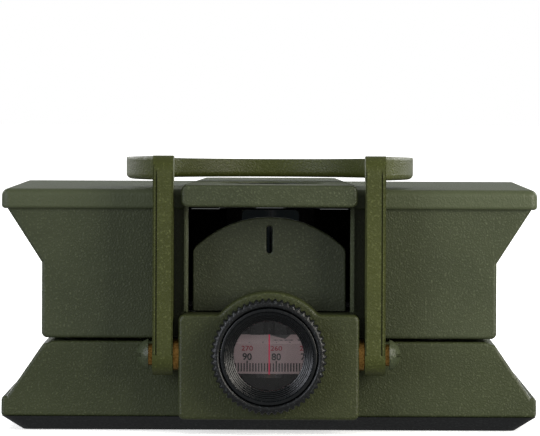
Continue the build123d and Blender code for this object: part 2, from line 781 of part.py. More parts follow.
with BuildPart() as top_window:
    with BuildSketch(Plane.XY.offset(lid_ceiling)):
        with Locations((0, ring_centre_y)):
            Circle(window_r)
    extrude(amount=top_pane)
top_window.part.label = "top_window"
export_step(top_window.part, "parts/top_window.step")

with BuildPart() as top_window_ring:
    with BuildSketch(Plane.XY.offset(lid_ceiling + top_pane)):
        with Locations((0, ring_centre_y)):
            Circle(window_r)
            Circle(window_r - window_rim, mode=Mode.SUBTRACT)
    extrude(amount=deck + band_height - top_pane - ring_sink)
top_window_ring.part.label = "top_window_ring"
export_step(top_window_ring.part, "parts/top_window_ring.step")

mirror_y = rear_y - wall - mirror_back - mirror_depth / 2
with BuildPart() as lid_mirror:
    with BuildSketch(Plane.XY.offset(lid_ceiling - mirror_thick)):
        with Locations((0, mirror_y)):
            RectangleRounded(mirror_width, mirror_depth, mirror_corner)
        with Locations((0, ring_centre_y)):
            Circle(window_r - window_rim, mode=Mode.SUBTRACT)
    extrude(amount=mirror_thick)
lid_mirror.part.label = "lid_mirror"
export_step(lid_mirror.part, "parts/lid_mirror.step")

clip_z = lid_ceiling - mirror_thick
clip_places = [(side, along) for side in sides.values() for along in (-12.0, 12.0)]
for number, (side, along) in enumerate(clip_places, start=1):
    with BuildPart() as mirror_clip:
        with BuildSketch(Plane.XY.offset(clip_z - 0.5)):
            with Locations((side * (mirror_width / 2 + 0.6), mirror_y + along)):
                RectangleRounded(4.4, 3.6, 0.8)
        extrude(amount=0.5)
        with BuildSketch(Plane.XY.offset(clip_z)):
            with Locations((side * (mirror_width / 2 + 1.7), mirror_y + along)):
                Rectangle(2.0, 3.2)
        extrude(amount=mirror_thick)
    mirror_clip.part.label = f"mirror_clip_{number}"
    export_step(mirror_clip.part, f"parts/mirror_clip_{number}.step")

pane_margin = 1.0
pane_thick = 0.8
with BuildPart() as front_sight_glass:
    with BuildSketch(Plane.XZ.offset(-rear_y + wall)):
        with Locations((0, (sight_bottom + sight_top) / 2)):
            Rectangle(2 * (sight_half + pane_margin), sight_top - sight_bottom + 2 * pane_margin)
    extrude(amount=pane_thick)
front_sight_glass.part.label = "front_sight_glass"
export_step(front_sight_glass.part, "parts/front_sight_glass.step")

with BuildPart() as front_sight_frame:
    with BuildSketch(Plane.XZ.offset(-rear_y + wall)):
        with Locations((0, (sight_bottom + sight_top) / 2)):
            RectangleRounded(2 * (sight_half + sight_frame), sight_top - sight_bottom + 4.4, 1.0)
            Rectangle(
                2 * (sight_half + pane_margin),
                sight_top - sight_bottom + 2 * pane_margin,
                mode=Mode.SUBTRACT,
            )
    extrude(amount=pane_thick)
    with BuildSketch(Plane.XZ.offset(-rear_y + wall + pane_thick)):
        with Locations((0, (sight_bottom + sight_top) / 2)):
            RectangleRounded(2 * (sight_half + sight_frame), sight_top - sight_bottom + 4.4, 1.0)
            Rectangle(2 * sight_half, sight_top - sight_bottom, mode=Mode.SUBTRACT)
    extrude(amount=sight_frame_lip)
front_sight_frame.part.label = "front_sight_frame"
export_step(front_sight_frame.part, "parts/front_sight_frame.step")

with BuildPart() as sight_wire:
    with BuildSketch(Plane.XY.offset(sight_bottom)):
        with Locations((0, rear_y - wall / 2)):
            Circle(wire_r)
    extrude(amount=sight_top - sight_bottom)
sight_wire.part.label = "sight_wire"
export_step(sight_wire.part, "parts/sight_wire.step")

# ---- front block ----------------------------------------------------------------------------------------
plate_front = front_y + wall
with BuildPart() as front_block:
    with BuildSketch(Plane.XZ.offset(-block_back)):
        with Locations((0, (base_bottom + block_top) / 2)):
            Rectangle(2 * block_half, block_top - base_bottom)
        with Locations((0, optical_z)):
            Circle(arch_r)
        shoulder = sqrt(arch_r**2 - (block_top - optical_z) ** 2)
        inner_corners = vertices().filter_by_position(Axis.X, -shoulder - 0.1, shoulder + 0.1)
        fillet(inner_corners.group_by(Axis.Y)[-1], 1.0)
    extrude(amount=block_depth)
    corner_edges = front_block.edges().filter_by(Axis.Y)
    fillet(corner_edges.group_by(Axis.X)[0], block_side_round)
    fillet(front_block.edges().filter_by(Axis.Y).group_by(Axis.X)[-1], block_side_round)
    fillet(front_block.faces().sort_by(Axis.Y)[0].edges(), block_face_round)
    # neck through the lid's front wall, and the plate behind it
    with BuildSketch(Plane.XZ.offset(-plate_front)):
        with Locations((0, (plate_bottom + block_top) / 2)):
            Rectangle(2 * neck_half, block_top - plate_bottom)
    extrude(amount=plate_front - block_back + 0.5)
    with BuildSketch(Plane.XZ.offset(-plate_front)):
        with Locations((0, (plate_bottom + block_top) / 2)):
            Rectangle(2 * plate_half, block_top - plate_bottom)
    extrude(amount=-plate_thick)
    # lugs of the sight leaf
    for start in (-leaf_knuckle_half - leaf_play - leaf_lug, leaf_knuckle_half + leaf_play):
        with BuildSketch(Plane.YZ.offset(start)):
            with BuildLine():
                Polyline(
                    (plate_front, plate_bottom),
                    (plate_front + plate_thick, plate_bottom),
                    (leaf_pin_y + leaf_knuckle_r * 0.8, leaf_pin_z - leaf_knuckle_r * 0.6),
                    (leaf_pin_y, leaf_pin_z + leaf_knuckle_r),
                    (leaf_pin_y - leaf_knuckle_r, leaf_pin_z),
                    (leaf_pin_y - leaf_knuckle_r, block_top),
                    (plate_front, block_top),
                    close=True,
                )
            make_face()
            with Locations((leaf_pin_y, leaf_pin_z)):
                Circle(leaf_knuckle_r)
                Circle(leaf_pin_r, mode=Mode.SUBTRACT)
        extrude(amount=leaf_lug)
    # stepped bore for the eyepiece
    with BuildSketch(Plane.XZ.offset(-block_front)):
        with Locations((0, optical_z)):
            Circle(barrel_bore)
    extrude(amount=-(block_depth + block_gap + 8.0), mode=Mode.SUBTRACT)
    with BuildSketch(Plane.XZ.offset(-block_front)):
        with Locations((0, optical_z)):
            Circle(skirt_bore)
    extrude(amount=-skirt_bore_depth, mode=Mode.SUBTRACT)
    # tapped holes for the loop screws, clear holes for the block screws
    for side in (-1, 1):
        with BuildSketch(Plane.YZ.offset(side * block_half)):
            with Locations((pivot_y, pivot_z)):
                Circle(thread_r)
        extrude(amount=-side * thread_depth, mode=Mode.SUBTRACT)
        with BuildSketch(Plane.XZ.offset(-plate_front)):
            with Locations((side * block_screw_x, block_screw_z)):
                Circle(block_screw_r + seat_fit)
        extrude(amount=-plate_thick, mode=Mode.SUBTRACT)
front_block.part.label = "front_block"
export_step(front_block.part, "parts/front_block.step")

for name, side in sides.items():
    with BuildPart() as block_screw:
        with BuildSketch(Plane.XZ.offset(-plate_front)):
            with Locations((side * block_screw_x, block_screw_z)):
                Circle(block_screw_r)
        extrude(amount=block_screw_reach)
        extrude(block_screw.faces().sort_by(Axis.Y)[-1], amount=plate_thick)
        with BuildSketch(Plane.XZ.offset(-plate_front - plate_thick)):
            with Locations((side * block_screw_x, block_screw_z)):
                Circle(block_screw_head_r)
        extrude(amount=-block_screw_head)
    block_screw.part.label = f"block_screw_{name}"
    export_step(block_screw.part, f"parts/block_screw_{name}.step")

# ---- sight leaf -----------------------------------------------------------------------------------------
with BuildPart() as sight_leaf:
    with BuildSketch(Plane.XZ.offset(-leaf_front)):
        with Locations((0, leaf_arc_z)):
            Circle(leaf_arc_r)
        with Locations((0, leaf_bottom + 15)):
            Rectangle(2 * leaf_half, 30, mode=Mode.INTERSECT)
        upper = vertices().group_by(Axis.Y)[-1]
        fillet(upper, leaf_corner)
        with Locations((0, (slit_bottom + slit_top) / 2)):
            SlotOverall(slit_top - slit_bottom, slit_width, rotation=90, mode=Mode.SUBTRACT)
    extrude(amount=-leaf_thick)
    front_rim = sight_leaf.faces().sort_by(Axis.Y)[0].edges()
    fillet(front_rim.filter_by_position(Axis.Z, leaf_bottom + 0.5, lid_top), leaf_rim)
    with BuildSketch(Plane.YZ.offset(-leaf_knuckle_half)):
        with BuildLine():
            Polyline(
                (leaf_front + leaf_thick / 2, leaf_bottom),
                (leaf_pin_y, leaf_pin_z - leaf_knuckle_r),
                (leaf_pin_y, leaf_pin_z + leaf_knuckle_r),
                (leaf_front + leaf_thick / 2, leaf_pin_z + leaf_knuckle_r + 1.0),
                close=True,
            )
        make_face()
        with Locations((leaf_pin_y, leaf_pin_z)):
            Circle(leaf_knuckle_r)
            Circle(leaf_pin_r + turn_fit, mode=Mode.SUBTRACT)
    extrude(amount=2 * leaf_knuckle_half)
sight_leaf.part.label = "sight_leaf"
export_step(sight_leaf.part, "parts/sight_leaf.step")

with BuildPart() as leaf_pin:
    pin_half = leaf_knuckle_half + leaf_play + leaf_lug
    with BuildSketch(Plane.YZ.offset(-pin_half)):
        with Locations((leaf_pin_y, leaf_pin_z)):
            Circle(leaf_pin_r)
    extrude(amount=2 * pin_half)
leaf_pin.part.label = "leaf_pin"
export_step(leaf_pin.part, "parts/leaf_pin.step")

# ---- eyepiece -------------------------------------------------------------------------------------------


def turned(profile):
    """A solid turned about the eyepiece axis from (radius, y) points."""
    with BuildSketch(Plane.XY.offset(optical_z)) as face:
        Polygon(*profile, align=None)
    revolve(face.sketch, axis=Axis((0, 0, optical_z), (0, 1, 0)))


focus_front = block_front - focus_head
with BuildPart() as focus_ring:
    turned(
        [
            (focus_bore, focus_front),
            (focus_r - 0.5, focus_front),
            (focus_r, focus_front + 0.5),
            (focus_r, block_front - face_gap),
            (focus_skirt_r, block_front - face_gap),
            (focus_skirt_r, block_front + focus_skirt - face_gap),
            (focus_bore, block_front + focus_skirt - face_gap),
        ]
    )
    with BuildSketch(Plane.XZ.offset(-focus_front)):
        with Locations((0, optical_z)):
            with PolarLocations(focus_r + 0.06, focus_teeth):
                Circle(scallop_r)
    extrude(amount=-(focus_head - face_gap), mode=Mode.SUBTRACT)
focus_ring.part.label = "focus_ring"
export_step(focus_ring.part, "parts/focus_ring.step")

washer_y = block_front + focus_skirt - 0.1
with BuildPart() as focus_washer:
    turned(
        [
            (focus_skirt_r - washer_in, washer_y),
            (skirt_bore, washer_y),
            (skirt_bore, washer_y + 0.3),
            (focus_skirt_r - washer_in, washer_y + 0.3),
        ]
    )
focus_washer.part.label = "focus_washer"
export_step(focus_washer.part, "parts/focus_washer.step")

lens_rear = lens_front + lens_thick
with BuildPart() as lens_barrel:
    turned(
        [
            (barrel_mouth_r, barrel_front),
            (barrel_r - 0.15, barrel_front),
            (barrel_r, barrel_front + 0.15),
            (barrel_r, barrel_rear),
            (lens_r - 0.5, barrel_rear),
            (lens_r - 0.5, lens_rear),
            (lens_r + 0.02, lens_rear),
            (lens_r + 0.02, barrel_front + 0.5),
            (barrel_mouth_r, barrel_front + 0.3),
        ]
    )
lens_barrel.part.label = "lens_barrel"
export_step(lens_barrel.part, "parts/lens_barrel.step")

lens_sag = lens_curve - sqrt(lens_curve**2 - lens_r**2)
with BuildPart() as eyepiece_lens:
    with BuildSketch(Plane(origin=(0, 0, optical_z), x_dir=(1, 0, 0), z_dir=(0, 0, 1))):
        with BuildLine():
            Polyline(
                (0, lens_front),
                (0, lens_rear),
                (lens_r, lens_rear),
                (lens_r, lens_front + lens_sag),
            )
            RadiusArc((lens_r, lens_front + lens_sag), (0, lens_front), lens_curve)
        make_face()
    revolve(axis=Axis((0, 0, optical_z), (0, 1, 0)))
eyepiece_lens.part.label = "eyepiece_lens"
export_step(eyepiece_lens.part, "parts/eyepiece_lens.step")

retainer_front = barrel_front + 0.55
retainer_rear = lens_front + lens_sag - 0.02
steps = 4
with BuildPart() as lens_retainer:
    profile = [(lens_r, retainer_rear), (lens_r, retainer_front)]
    ridge_drop = (lens_r - 0.15 - aperture_r) / steps
    ridge_run = (retainer_rear - retainer_front) / steps
    for n in range(steps):
        radius = lens_r - 0.15 - n * ridge_drop
        profile.append((radius, retainer_front + n * ridge_run))
        profile.append((radius - ridge_drop * 0.4, retainer_front + (n + 0.75) * ridge_run))
    profile.append((aperture_r, retainer_rear))
    turned(profile)
lens_retainer.part.label = "lens_retainer"
export_step(lens_retainer.part, "parts/lens_retainer.step")

# ---- thumb loop -----------------------------------------------------------------------------------------
loop_hole_r = bush_r + turn_fit
with BuildPart() as thumb_loop:
    arm_front = pivot_y - loop_arm_depth / 2
    arm_back = pivot_y + loop_arm_depth / 2
    with BuildSketch(Plane.XY.offset(loop_bottom)):
        with Locations((0, ring_centre_y)):
            Circle(loop_ring_r)
            Circle(loop_ring_r - loop_ring_width, mode=Mode.SUBTRACT)
    extrude(amount=loop_top - loop_bottom)
    fillet(thumb_loop.edges().filter_by(GeomType.CIRCLE), ring_round)
    with BuildSketch(Plane.XY.offset(loop_bottom)):
        gap_y = ring_centre_y - sqrt((loop_ring_r - loop_ring_width) ** 2 - loop_inner_half**2)
        with Locations((0, gap_y - 10)):
            Rectangle(2 * loop_inner_half, 20)
    extrude(amount=loop_top - loop_bottom, mode=Mode.SUBTRACT)
    for side in (-1, 1):
        arm_start = loop_inner_half if side > 0 else -loop_outer
        with BuildSketch(Plane.YZ.offset(arm_start)) as arm:
            with BuildLine():
                Polyline(
                    (arm_front, pivot_z),
                    (arm_back, pivot_z),
                    (arm_back, loop_bottom),
                    (ring_centre_y - foot_reach, loop_bottom),
                    (ring_centre_y - foot_reach, loop_top),
                    (arm_front, loop_top),
                    close=True,
                )
            make_face()
            fillet(arm.vertices().group_by(Axis.X)[0].group_by(Axis.Y)[-1], heel_round)
            elbow = arm.vertices().filter_by_position(Axis.X, arm_back - 0.1, arm_back + 0.1)
            fillet(elbow.group_by(Axis.Y)[-1], elbow_round)
            with Locations((pivot_y, pivot_z)):
                Circle(loop_arm_depth / 2)
        extrude(amount=loop_arm)
    # two fine steps along each arm's outer front edge, one along its inner edge
    with BuildSketch(Plane.XY.offset(pivot_z)):
        for side in (-1, 1):
            with Locations((side * (loop_outer - line_width / 2), arm_front)):
                Rectangle(line_width, 4 * line_depth)
            with Locations((side * (loop_outer - 2.5 * line_width), arm_front)):
                Rectangle(line_width, 1.5 * line_depth)
            with Locations((side * (loop_inner_half + line_width / 2), arm_front)):
                Rectangle(line_width, 2 * line_depth)
    extrude(amount=loop_top - pivot_z, mode=Mode.SUBTRACT)
    slope = Plane(
        origin=(0, arm_front, loop_top),
        x_dir=(1, 0, 0),
        z_dir=(0, sin(radians(loop_slope)), cos(radians(loop_slope))),
    )
    split(bisect_by=slope, keep=Keep.BOTTOM)
    for side in (-1, 1):
        arm_start = loop_inner_half if side > 0 else -loop_outer
        with BuildSketch(Plane.YZ.offset(arm_start)):
            with Locations((pivot_y, pivot_z)):
                Circle(loop_hole_r)
        extrude(amount=loop_arm, mode=Mode.SUBTRACT)
thumb_loop.part.label = "thumb_loop"
export_step(thumb_loop.part, "parts/thumb_loop.step")

for name, side in sides.items():
    with BuildPart() as loop_bush:
        with BuildSketch(Plane.YZ.offset(side * block_half)):
            with Locations((pivot_y, pivot_z)):
                Circle(bush_flange_r)
                Circle(screw_shank_r, mode=Mode.SUBTRACT)
        extrude(amount=side * (loop_inner_half - block_half - side_play))
        with BuildSketch(Plane.YZ.offset(side * (loop_inner_half - side_play))):
            with Locations((pivot_y, pivot_z)):
                Circle(bush_r)
                Circle(screw_shank_r, mode=Mode.SUBTRACT)
        extrude(amount=side * (dome_seat - loop_inner_half + side_play))
    loop_bush.part.label = f"loop_bush_{name}"
    export_step(loop_bush.part, f"parts/loop_bush_{name}.step")

dome_curve = (dome_r**2 + dome_height**2) / (2 * dome_height)
for name, side in sides.items():
    with BuildPart() as loop_screw:
        with BuildSketch(Plane.YZ.offset(side * (block_half - thread_depth))):
            with Locations((pivot_y, pivot_z)):
                Circle(thread_r)
        extrude(amount=side * thread_depth)
        with BuildSketch(Plane.YZ.offset(side * block_half)):
            with Locations((pivot_y, pivot_z)):
                Circle(screw_shank_r)
        extrude(amount=side * (dome_seat - block_half))
        with BuildSketch(Plane.XY.offset(pivot_z)):
            with BuildLine():
                Polyline(
                    (side * (dome_seat + dome_height), pivot_y),
                    (side * dome_seat, pivot_y),
                    (side * dome_seat, pivot_y + dome_r),
                )
                RadiusArc(
                    (side * dome_seat, pivot_y + dome_r),
                    (side * (dome_seat + dome_height), pivot_y),
                    side * dome_curve,
                )
            make_face()
        revolve(axis=Axis((0, pivot_y, pivot_z), (1, 0, 0)))
        with BuildSketch(Plane.YZ.offset(side * (dome_seat + dome_height))):
            with Locations((pivot_y, pivot_z)):
                Rectangle(2 * dome_r + screw_slot, screw_slot)
        extrude(amount=-side * dome_slot_depth, mode=Mode.SUBTRACT)
    loop_screw.part.label = f"loop_screw_{name}"
    export_step(loop_screw.part, f"parts/loop_screw_{name}.step")
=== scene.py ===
import math

import bmesh
import bpy
from mathutils import Matrix, Vector


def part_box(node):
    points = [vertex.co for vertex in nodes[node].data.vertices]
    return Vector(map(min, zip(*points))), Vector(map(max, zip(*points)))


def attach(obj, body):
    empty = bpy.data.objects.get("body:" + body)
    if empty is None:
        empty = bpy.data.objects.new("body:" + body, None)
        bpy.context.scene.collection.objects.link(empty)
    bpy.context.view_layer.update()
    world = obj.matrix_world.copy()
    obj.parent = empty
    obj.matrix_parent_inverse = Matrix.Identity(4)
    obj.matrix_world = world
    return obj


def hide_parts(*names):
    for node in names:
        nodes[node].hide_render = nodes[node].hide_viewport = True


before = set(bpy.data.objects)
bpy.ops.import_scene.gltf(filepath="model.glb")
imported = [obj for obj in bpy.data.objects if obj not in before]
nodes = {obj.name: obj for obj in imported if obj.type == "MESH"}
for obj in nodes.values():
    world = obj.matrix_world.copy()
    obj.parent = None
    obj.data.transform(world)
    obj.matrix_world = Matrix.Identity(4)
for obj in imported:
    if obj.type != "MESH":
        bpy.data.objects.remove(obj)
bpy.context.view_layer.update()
mm = 0.001
print("frame loaded:", len(nodes), "nodes")


def hexColour(code):
    # sRGB hex to the linear colour that a shader socket takes
    parts = [int(code[i:i + 2], 16) / 255 for i in (0, 2, 4)]
    linear = [c / 12.92 if c <= 0.04045 else ((c + 0.055) / 1.055) ** 2.4 for c in parts]
    return (*linear, 1.0)


def addNode(tree, kind, links=None, values=None, **settings):
    node = tree.nodes.new(kind)
    for key, value in settings.items():
        setattr(node, key, value)
    for key, value in (values or {}).items():
        node.inputs[key].default_value = value
    for key, source in (links or {}).items():
        tree.links.new(source, node.inputs[key])
    return node


def newMaterial(name, values):
    material = bpy.data.materials.new(name)
    material.use_nodes = True
    tree = material.node_tree
    tree.nodes.clear()
    shader = addNode(tree, "ShaderNodeBsdfPrincipled", values=values)
    addNode(tree, "ShaderNodeOutputMaterial", links={"Surface": shader.outputs["BSDF"]})
    return material, tree, shader


def dress(material, *names):
    for name in names:
        mesh = nodes[name].data
        mesh.materials.clear()
        mesh.materials.append(material)


def newPiece(name, mesh, body, material):
    piece = bpy.data.objects.new(name, mesh)
    bpy.context.scene.collection.objects.link(piece)
    mesh.materials.clear()
    mesh.materials.append(material)
    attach(piece, body)
    return piece


def meshFrom(bm, name, smoothAngle=None):
    bmesh.ops.remove_doubles(bm, verts=bm.verts, dist=1e-7)
    if smoothAngle is not None:
        bmesh.ops.recalc_face_normals(bm, faces=bm.faces)
        for face in bm.faces:
            face.smooth = True
        for edge in bm.edges:
            if len(edge.link_faces) == 2 and edge.calc_face_angle(0) > math.radians(smoothAngle):
                edge.smooth = False
    mesh = bpy.data.meshes.new(name)
    bm.to_mesh(mesh)
    bm.free()
    return mesh


def boxMiddle(name):
    low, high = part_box(name)
    return (low + high) / 2


# Places taken from the frame
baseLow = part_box("base_case")[0]
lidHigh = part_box("lid_case")[1]
cardLow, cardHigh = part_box("compass_card")
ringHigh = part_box("azimuth_ring")[1]
focusLow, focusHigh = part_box("focus_ring")
barrelLow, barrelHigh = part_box("lens_barrel")
lensLow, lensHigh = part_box("eyepiece_lens")
opticalZ = boxMiddle("focus_ring").z
cardRadius = cardHigh.x
rimBottom = cardLow.z


# Epoxy-polyester powder coat, sprayed and baked: matt olive, a fine pebbled skin, faint cloudiness
oliveCoat = {
    "colour": "464D33",
    "cloud": "3F462D",
    "grainLight": "626A4C",
    "roughness": 0.46,
    "grainMm": 0.28,  # drawn coarser than the real 0.1 mm so that it shows
    "cloudMm": 9.0,
    "cloudEdges": (0.35, 0.65),
    "fleckEdges": (0.56, 0.78),
    "glossSwing": 0.07,
    "bump": 0.7,
    "bumpMm": 0.12,
}
insideShadePaint = {"colour": "0B0C0B", "roughness": 0.75}  # flat black: painted shade inside the lid, the viewing channel and the capsule's seat
noiseMiddle = (0.3, 0.7)  # the part of a noise texture's range that is spread over a gloss


def powderCoat(name, look, insideShadeMask=None, lipHighlightMask=None):
    material, tree, shader = newMaterial(name, {"IOR": 1.5})
    place = addNode(tree, "ShaderNodeTexCoord").outputs["Object"]
    cloud = addNode(
        tree, "ShaderNodeTexNoise", {"Vector": place}, {"Scale": 1000 / look["cloudMm"], "Detail": 3.0}
    )
    grain = addNode(
        tree, "ShaderNodeTexNoise", {"Vector": place}, {"Scale": 1000 / look["grainMm"], "Detail": 2.0}
    )
    cloudRamp = addNode(
        tree,
        "ShaderNodeMapRange",
        {"Value": cloud.outputs["Fac"]},
        {"From Min": look["cloudEdges"][0], "From Max": look["cloudEdges"][1]},
    )
    base = addNode(
        tree, "ShaderNodeMix", {0: cloudRamp.outputs["Result"]},
        {6: hexColour(look["colour"]), 7: hexColour(look["cloud"])}, data_type="RGBA",
    )
    flecks = addNode(
        tree,
        "ShaderNodeMapRange",
        {"Value": grain.outputs["Fac"]},
        {"From Min": look["fleckEdges"][0], "From Max": look["fleckEdges"][1]},
    )
    colour = addNode(
        tree, "ShaderNodeMix", {0: flecks.outputs["Result"], 6: base.outputs[2]},
        {7: hexColour(look["grainLight"])}, data_type="RGBA",
    )
    gloss = addNode(
        tree, "ShaderNodeMapRange", {"Value": grain.outputs["Fac"]},
        {
            "From Min": noiseMiddle[0],
            "From Max": noiseMiddle[1],
            "To Min": look["roughness"] - look["glossSwing"],
            "To Max": look["roughness"] + look["glossSwing"],
        },
    )
    # the lid's flange gets a lighter colour over this mask: a painted highlight
    if lipHighlightMask:
        colour = addNode(
            tree, "ShaderNodeMix", {0: lipHighlightMask(tree, place), 6: colour.outputs[2]},
            {7: hexColour(look["lip"])}, data_type="RGBA",
        )
    bump = addNode(
        tree, "ShaderNodeBump", {"Height": grain.outputs["Fac"]},
        {"Strength": look["bump"], "Distance": look["bumpMm"] * mm},
    )
    tree.links.new(bump.outputs["Normal"], shader.inputs["Normal"])
    colourOut, glossOut = colour.outputs[2], gloss.outputs["Result"]
    # the inner faces get flat black here: painted shade
    if insideShadeMask:
        inside = insideShadeMask(tree, place)
        dark = addNode(
            tree, "ShaderNodeMix", {0: inside, 6: colourOut},
            {7: hexColour(insideShadePaint["colour"])}, data_type="RGBA",
        )
        flat = addNode(
            tree, "ShaderNodeMix", {0: inside, 2: glossOut}, {3: insideShadePaint["roughness"]}, data_type="FLOAT"
        )
        colourOut, glossOut = dark.outputs[2], flat.outputs[0]
    tree.links.new(colourOut, shader.inputs["Base Color"])
    tree.links.new(glossOut, shader.inputs["Roughness"])
    return material


# inner faces of the lid, in mm; they flare as they rise
lidInner = {
    "flareFrom": 25.0,
    "flareTo": 31.8,
    "halfWidthFrom": 32.2,
    "halfWidthTo": 36.0,
    "halfDepth": 32.0,
    "belowTop": 1.5,
}


def lidInside(tree, place):
    # 1 on the lid's inner walls and ceiling, which are painted flat black as painted shade
    axes = addNode(tree, "ShaderNodeSeparateXYZ", {"Vector": place})
    across = addNode(tree, "ShaderNodeMath", {0: axes.outputs["X"]}, operation="ABSOLUTE")
    flare = addNode(
        tree, "ShaderNodeMapRange", {"Value": axes.outputs["Z"]},
        {
            "From Min": lidInner["flareFrom"] * mm,
            "From Max": lidInner["flareTo"] * mm,
            "To Min": lidInner["halfWidthFrom"] * mm,
            "To Max": lidInner["halfWidthTo"] * mm,
        },
    )
    withinX = addNode(
        tree, "ShaderNodeMath", {0: across.outputs[0], 1: flare.outputs["Result"]}, operation="LESS_THAN"
    )
    along = addNode(tree, "ShaderNodeMath", {0: axes.outputs["Y"]}, operation="ABSOLUTE")
    withinY = addNode(
        tree,
        "ShaderNodeMath",
        {0: along.outputs[0]},
        {1: lidInner["halfDepth"] * mm},
        operation="LESS_THAN",
    )
    below = addNode(
        tree,
        "ShaderNodeMath",
        {0: axes.outputs["Z"]},
        {1: lidHigh.z - lidInner["belowTop"] * mm},
        operation="LESS_THAN",
    )
    both = addNode(
        tree, "ShaderNodeMath", {0: withinX.outputs[0], 1: withinY.outputs[0]}, operation="MULTIPLY"
    )
    return addNode(
        tree, "ShaderNodeMath", {0: both.outputs[0], 1: below.outputs[0]}, operation="MULTIPLY"
    ).outputs[0]


# where the lid's flange is painted lighter: a painted highlight
lipHighlightArea = {"belowTop": 3.7, "behind": -34.6, "share": 0.7}  # mm, and how much of the lighter shade


def lidLip(tree, place):
    # partly 1 on the flange, which is painted a shade lighter as a painted highlight, for the light it
    # catches above the recessed front; not on the bar in front of it
    axes = addNode(tree, "ShaderNodeSeparateXYZ", {"Vector": place})
    above = addNode(
        tree,
        "ShaderNodeMath",
        {0: axes.outputs["Z"]},
        {1: lidHigh.z - lipHighlightArea["belowTop"] * mm},
        operation="GREATER_THAN",
    )
    behind = addNode(
        tree,
        "ShaderNodeMath",
        {0: axes.outputs["Y"]},
        {1: lipHighlightArea["behind"] * mm},
        operation="GREATER_THAN",
    )
    both = addNode(
        tree, "ShaderNodeMath", {0: above.outputs[0], 1: behind.outputs[0]}, operation="MULTIPLY"
    )
    return addNode(
        tree, "ShaderNodeMath", {0: both.outputs[0]}, {1: lipHighlightArea["share"]}, operation="MULTIPLY"
    ).outputs[0]


baseInner = {"channelHalf": 5.7, "frontSkin": 0.05, "channelEnd": -20.0, "seatRadius": 23.5}


def baseInside(tree, place):
    # 1 in the viewing channel and the capsule's seat, which are painted flat black as painted shade
    axes = addNode(tree, "ShaderNodeSeparateXYZ", {"Vector": place})
    across = addNode(tree, "ShaderNodeMath", {0: axes.outputs["X"]}, operation="ABSOLUTE")
    channel = addNode(
        tree,
        "ShaderNodeMath",
        {0: across.outputs[0]},
        {1: baseInner["channelHalf"] * mm},
        operation="LESS_THAN",
    )
    behind = addNode(
        tree,
        "ShaderNodeMath",
        {0: axes.outputs["Y"]},
        {1: baseLow.y + baseInner["frontSkin"] * mm},
        operation="GREATER_THAN",
    )
    front = addNode(
        tree,
        "ShaderNodeMath",
        {0: axes.outputs["Y"]},
        {1: baseInner["channelEnd"] * mm},
        operation="LESS_THAN",
    )
    first = addNode(
        tree, "ShaderNodeMath", {0: channel.outputs[0], 1: behind.outputs[0]}, operation="MULTIPLY"
    )
    second = addNode(
        tree, "ShaderNodeMath", {0: first.outputs[0], 1: front.outputs[0]}, operation="MULTIPLY"
    )
    flat = addNode(tree, "ShaderNodeCombineXYZ", {"X": axes.outputs["X"], "Y": axes.outputs["Y"]})
    radius = addNode(tree, "ShaderNodeVectorMath", {0: flat.outputs[0]}, operation="LENGTH")
    seat = addNode(
        tree,
        "ShaderNodeMath",
        {0: radius.outputs["Value"]},
        {1: baseInner["seatRadius"] * mm},
        operation="LESS_THAN",
    )
    return addNode(
        tree, "ShaderNodeMath", {0: second.outputs[0], 1: seat.outputs[0]}, operation="MAXIMUM"
    ).outputs[0]


# Black hard-anodised aluminium, bead blasted: near black, with tiny bright grains painted into its colour as
# painted glints
blackAnodised = {"colour": "0C0E0F", "paintedGlint": "4C5355", "roughness": 0.38, "grainMm": 0.24, "bump": 0.9}
# Turned and black anodised without blasting: smoother, with hardly any grain and a soft sheen
blackTurned = {"colour": "0E1113", "paintedGlint": "1B2022", "roughness": 0.30, "grainMm": 0.5, "bump": 0.10}
# Glass-filled nylon cover, moulded against a spark-eroded tool
mouldedNylon = {"colour": "1A1D1E", "paintedGlint": "2A2E2F", "roughness": 0.55, "grainMm": 0.35, "bump": 0.25}
blastedGrain = {"glintEdges": (0.58, 0.75), "glossSwing": 0.1, "bumpMm": 0.06}


def grainedBlack(name, look, metallic=0.0):
    material, tree, shader = newMaterial(name, {"IOR": 1.5, "Metallic": metallic})
    place = addNode(tree, "ShaderNodeTexCoord").outputs["Object"]
    grain = addNode(
        tree, "ShaderNodeTexNoise", {"Vector": place}, {"Scale": 1000 / look["grainMm"], "Detail": 2.0}
    )
    # the brightest grains take the paintedGlint colour: painted glints
    paintedGlints = addNode(
        tree,
        "ShaderNodeMapRange",
        {"Value": grain.outputs["Fac"]},
        {"From Min": blastedGrain["glintEdges"][0], "From Max": blastedGrain["glintEdges"][1]},
    )
    colour = addNode(
        tree, "ShaderNodeMix", {0: paintedGlints.outputs["Result"]},
        {6: hexColour(look["colour"]), 7: hexColour(look["paintedGlint"])}, data_type="RGBA",
    )
    gloss = addNode(
        tree, "ShaderNodeMapRange", {"Value": grain.outputs["Fac"]},
        {
            "From Min": noiseMiddle[0],
            "From Max": noiseMiddle[1],
            "To Min": look["roughness"] + blastedGrain["glossSwing"],
            "To Max": look["roughness"] - blastedGrain["glossSwing"],
        },
    )
    bump = addNode(
        tree, "ShaderNodeBump", {"Height": grain.outputs["Fac"]},
        {"Strength": look["bump"], "Distance": blastedGrain["bumpMm"] * mm},
    )
    tree.links.new(colour.outputs[2], shader.inputs["Base Color"])
    tree.links.new(gloss.outputs["Result"], shader.inputs["Roughness"])
    tree.links.new(bump.outputs["Normal"], shader.inputs["Normal"])
    return material


# Metals: turned brass, stainless steel pins, screws and springs, ground magnets
metalLooks = {
    "turnedBrass": {"colour": "B98F4E", "tarnish": "7E5B2B", "roughness": 0.30, "grainMm": 0.3},
    "stainlessSteel": {"colour": "B9B8B3", "tarnish": "8C8B86", "roughness": 0.28, "grainMm": 0.3},
    "groundMagnet": {"colour": "6C6D70", "tarnish": "4D4E51", "roughness": 0.38, "grainMm": 0.2},
}


